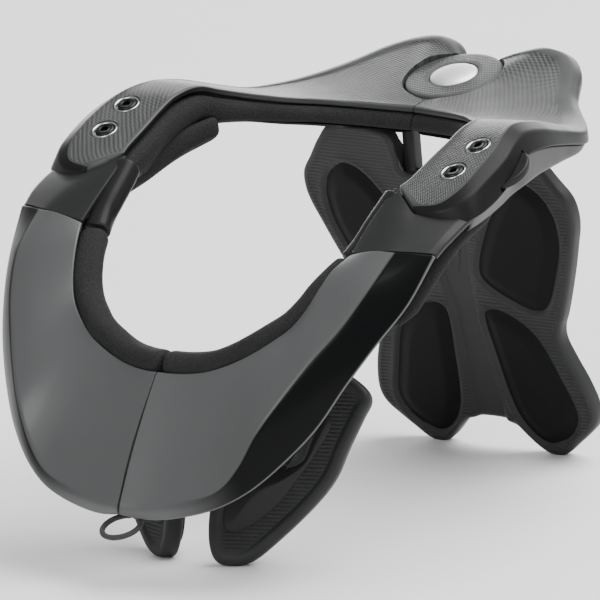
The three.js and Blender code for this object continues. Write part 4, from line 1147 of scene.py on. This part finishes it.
def pad_distance(p):
    """Signed distance outside the nearest soft pad, on either side."""
    q = np.column_stack([np.abs(p[:, 0]), p[:, 1]])
    best = np.full(len(p), 1e9)
    for ring in pad_outlines.values():
        d = outline_distance(q, ring)
        best = np.minimum(best, np.where(inside_outline(q, ring), -d, d))
    return best


def in_channel(p, inner, outer):
    """One in the middle channel and nought beyond it, between two offsets from its half width."""
    half = np.interp(p[:, 1], CHANNEL_STATIONS, CHANNEL_HALVES)
    return 1 - smooth(np.abs(p[:, 0]), half + inner, half + outer)


def stabiliser_front(p, d):
    """A rolled rim, a lip round each sunk pad and a sunk channel."""
    gap = pad_distance(p)
    rim = 1 - smooth(d, 3.2, 5.2)
    lip = np.exp(-((gap - 2.4) / 1.5) ** 2)
    sunk = smooth(-gap, -1.2, 1.0)
    channel = in_channel(p, -CHANNEL_SOFT, 0)
    return edge_drop(d, 2.6) - 0.5 * rim - 0.7 * lip + CHANNEL_DEPTH * channel + 1.2 * sunk


def soft_pad_front(p, d):
    return 1.0 - 2.4 * smooth(d, -1, 9) + edge_drop(d, 1.4) * 0.5


stab_shape, flat, edge = slab(stabiliser_outline, flat_face(STABILISER_THICKNESS, 1.8), stabiliser_front,
                              stabiliser_frame, count=560, rings=64, inset=5.0)
stab_field = smooth(edge, 2.4, 3.4) * smooth(pad_distance(flat), 1.6, 2.4) * (1 - in_channel(flat, -1, 1.5))
piece("back_stabiliser_look", stab_shape, "hub", MESHED, ["back_stabiliser"],
      {"field": np.concatenate([0 * stab_field, stab_field]), "weave": flat_weave(flat)})
SQUARE = ((-1, -1), (1, -1), (1, 1), (-1, 1))
LEG = {"middle": 16.25, "half_width": 3.75, "half_depth": 4.0, "overlap": 20.0, "inset": 0.35, "lean": 0.35,
       "below_hub": 12.2}
leg_foot = plate_origin - plate_up * LEG["overlap"]
leg_tilt = math.radians(STABILISER_LEAN * LEG["lean"])
lift = np.array([0, -math.sin(leg_tilt), math.cos(leg_tilt)])
start = np.array([LEG["middle"], leg_foot[1] + STABILISER_THICKNESS * LEG["inset"], leg_foot[2]])
leg_top = ((hub_middle - hub_axis * (LEG["below_hub"] + GAP) - start) @ hub_axis) / (lift @ hub_axis)
leg_corners = [(x * LEG["half_width"], y * LEG["half_depth"], 0) for x, y in SQUARE]
leg_section = rounded(leg_corners, [1.6] * 4, 5)
leg_rings = [start + leg_section + lift * h for h in np.linspace(0, leg_top, 10)]
both("stabiliser_leg", loft(leg_rings), MATTE, body="hub", stands=False)
for name, ring in pad_outlines.items():
    shape = slab(ring, flat_back(0.9), soft_pad_front, stabiliser_frame)[0]
    both("stabiliser_" + name + "_pad", shape, SOFT, body="hub")

# The pull loop: one cord from behind the lower lip, round a ring and back.
LOOP = {"radius": 10.5, "cord": 1.5, "tilt": math.radians(25), "behind": 3.5, "below": 6.7}
LOOP_TURN = (math.radians(98), math.radians(442))
CORD_SIDES = 16
chin = shares(SHELL_ROWS, 2)[0]
ring_middle = np.array([0, chin[1] + LOOP["behind"], chin[2] - LOOP["below"]])
angles = np.linspace(*LOOP_TURN, 40)
ring = ring_middle + LOOP["radius"] * np.column_stack([
    np.cos(angles), np.sin(angles) * math.cos(LOOP["tilt"]), np.sin(angles) * math.sin(LOOP["tilt"])])
hidden_end = [np.array([0.8, -0.9705 * FRONT_REACH, -0.91 * RISE]),
              np.array([1.3, -0.945 * FRONT_REACH, -0.93 * RISE])]
route = [p * (-1, 1, 1) for p in hidden_end] + list(ring) + hidden_end[::-1]
cord_path = curve(np.array(route), np.linspace(0, 1, 150))


def tube(path, radius, sides):
    """Rings about a path that turn with it without twisting."""
    along = unit(np.gradient(path, axis=0))
    side = unit(np.cross(along[0], (0, 0, 1.0) if abs(along[0, 0]) > 0.9 else (1.0, 0, 0)))
    angle = np.linspace(0, 2 * math.pi, sides, endpoint=False)
    rings = []
    for p, t in zip(path, along):
        side = unit(side - (side @ t) * t)
        turned = np.outer(np.cos(angle), side) + np.outer(np.sin(angle), np.cross(t, side))
        rings.append(p + radius * turned)
    return np.array(rings)


cord_rings = tube(cord_path, LOOP["cord"], CORD_SIDES)
around = np.linspace(0, 2 * math.pi * LOOP["cord"], CORD_SIDES)
cord_weave = [(s, a, 0) for s in arc(cord_rings) for a in around]
cord = piece("pull_loop_look", loft(cord_rings), "left_half", CORD, ["pull_loop"],
             {"weave": cord_weave})

# Hidden supports keep their solids, with a moulded look.
for name in ("left_collar_beam", "right_collar_beam", "hub_plate"):
    nodes[name].data.materials.clear()
    nodes[name].data.materials.append(MATTE)

# Floor, light and sky.
LIGHTS = {  # place, size, power
    "top_soft": ((0.9, 0.8, 2.4), (3.0, 2.6), 155),
    "front_soft": ((0.5, -2.2, 1.3), (1.6, 1.0), 30),
    "rear_soft": ((-2.1, 2.7, 0.75), (3.0, 1.4), 90),
}
LIGHT_AIM = Vector((0, 0, 0.1))
FLOOR_HALF = 6
SKY_STRENGTH = 0.45

floor_look = Look("floor")
pale = floor_look.mix(floor_look.noise(40, 3), (0.9, 0.9, 0.9), (0.93, 0.93, 0.93))
floor_look.feed(floor_look.shader, {"Base Color": pale, "Roughness": 0.9})
floor_corners = [(x * FLOOR_HALF, y * FLOOR_HALF, 0) for x, y in SQUARE]
floor = raw_object("floor", floor_corners, [(0, 1, 2, 3)])
floor.data.materials.append(floor_look.mat)

world = bpy.data.worlds.new("studio")
bpy.context.scene.world = world
world.use_nodes = True
sky = world.node_tree.nodes["Background"]
sky.inputs["Color"].default_value = (1, 1, 1, 1)
sky.inputs["Strength"].default_value = SKY_STRENGTH
for name, (where, size, power) in LIGHTS.items():
    data = bpy.data.lights.new(name, "AREA")
    data.shape = "RECTANGLE"
    data.size, data.size_y = size
    data.energy = power
    lamp = bpy.data.objects.new(name, data)
    bpy.context.scene.collection.objects.link(lamp)
    lamp.location = where
    lamp.rotation_euler = (LIGHT_AIM - Vector(where)).to_track_quat("-Z", "Y").to_euler()
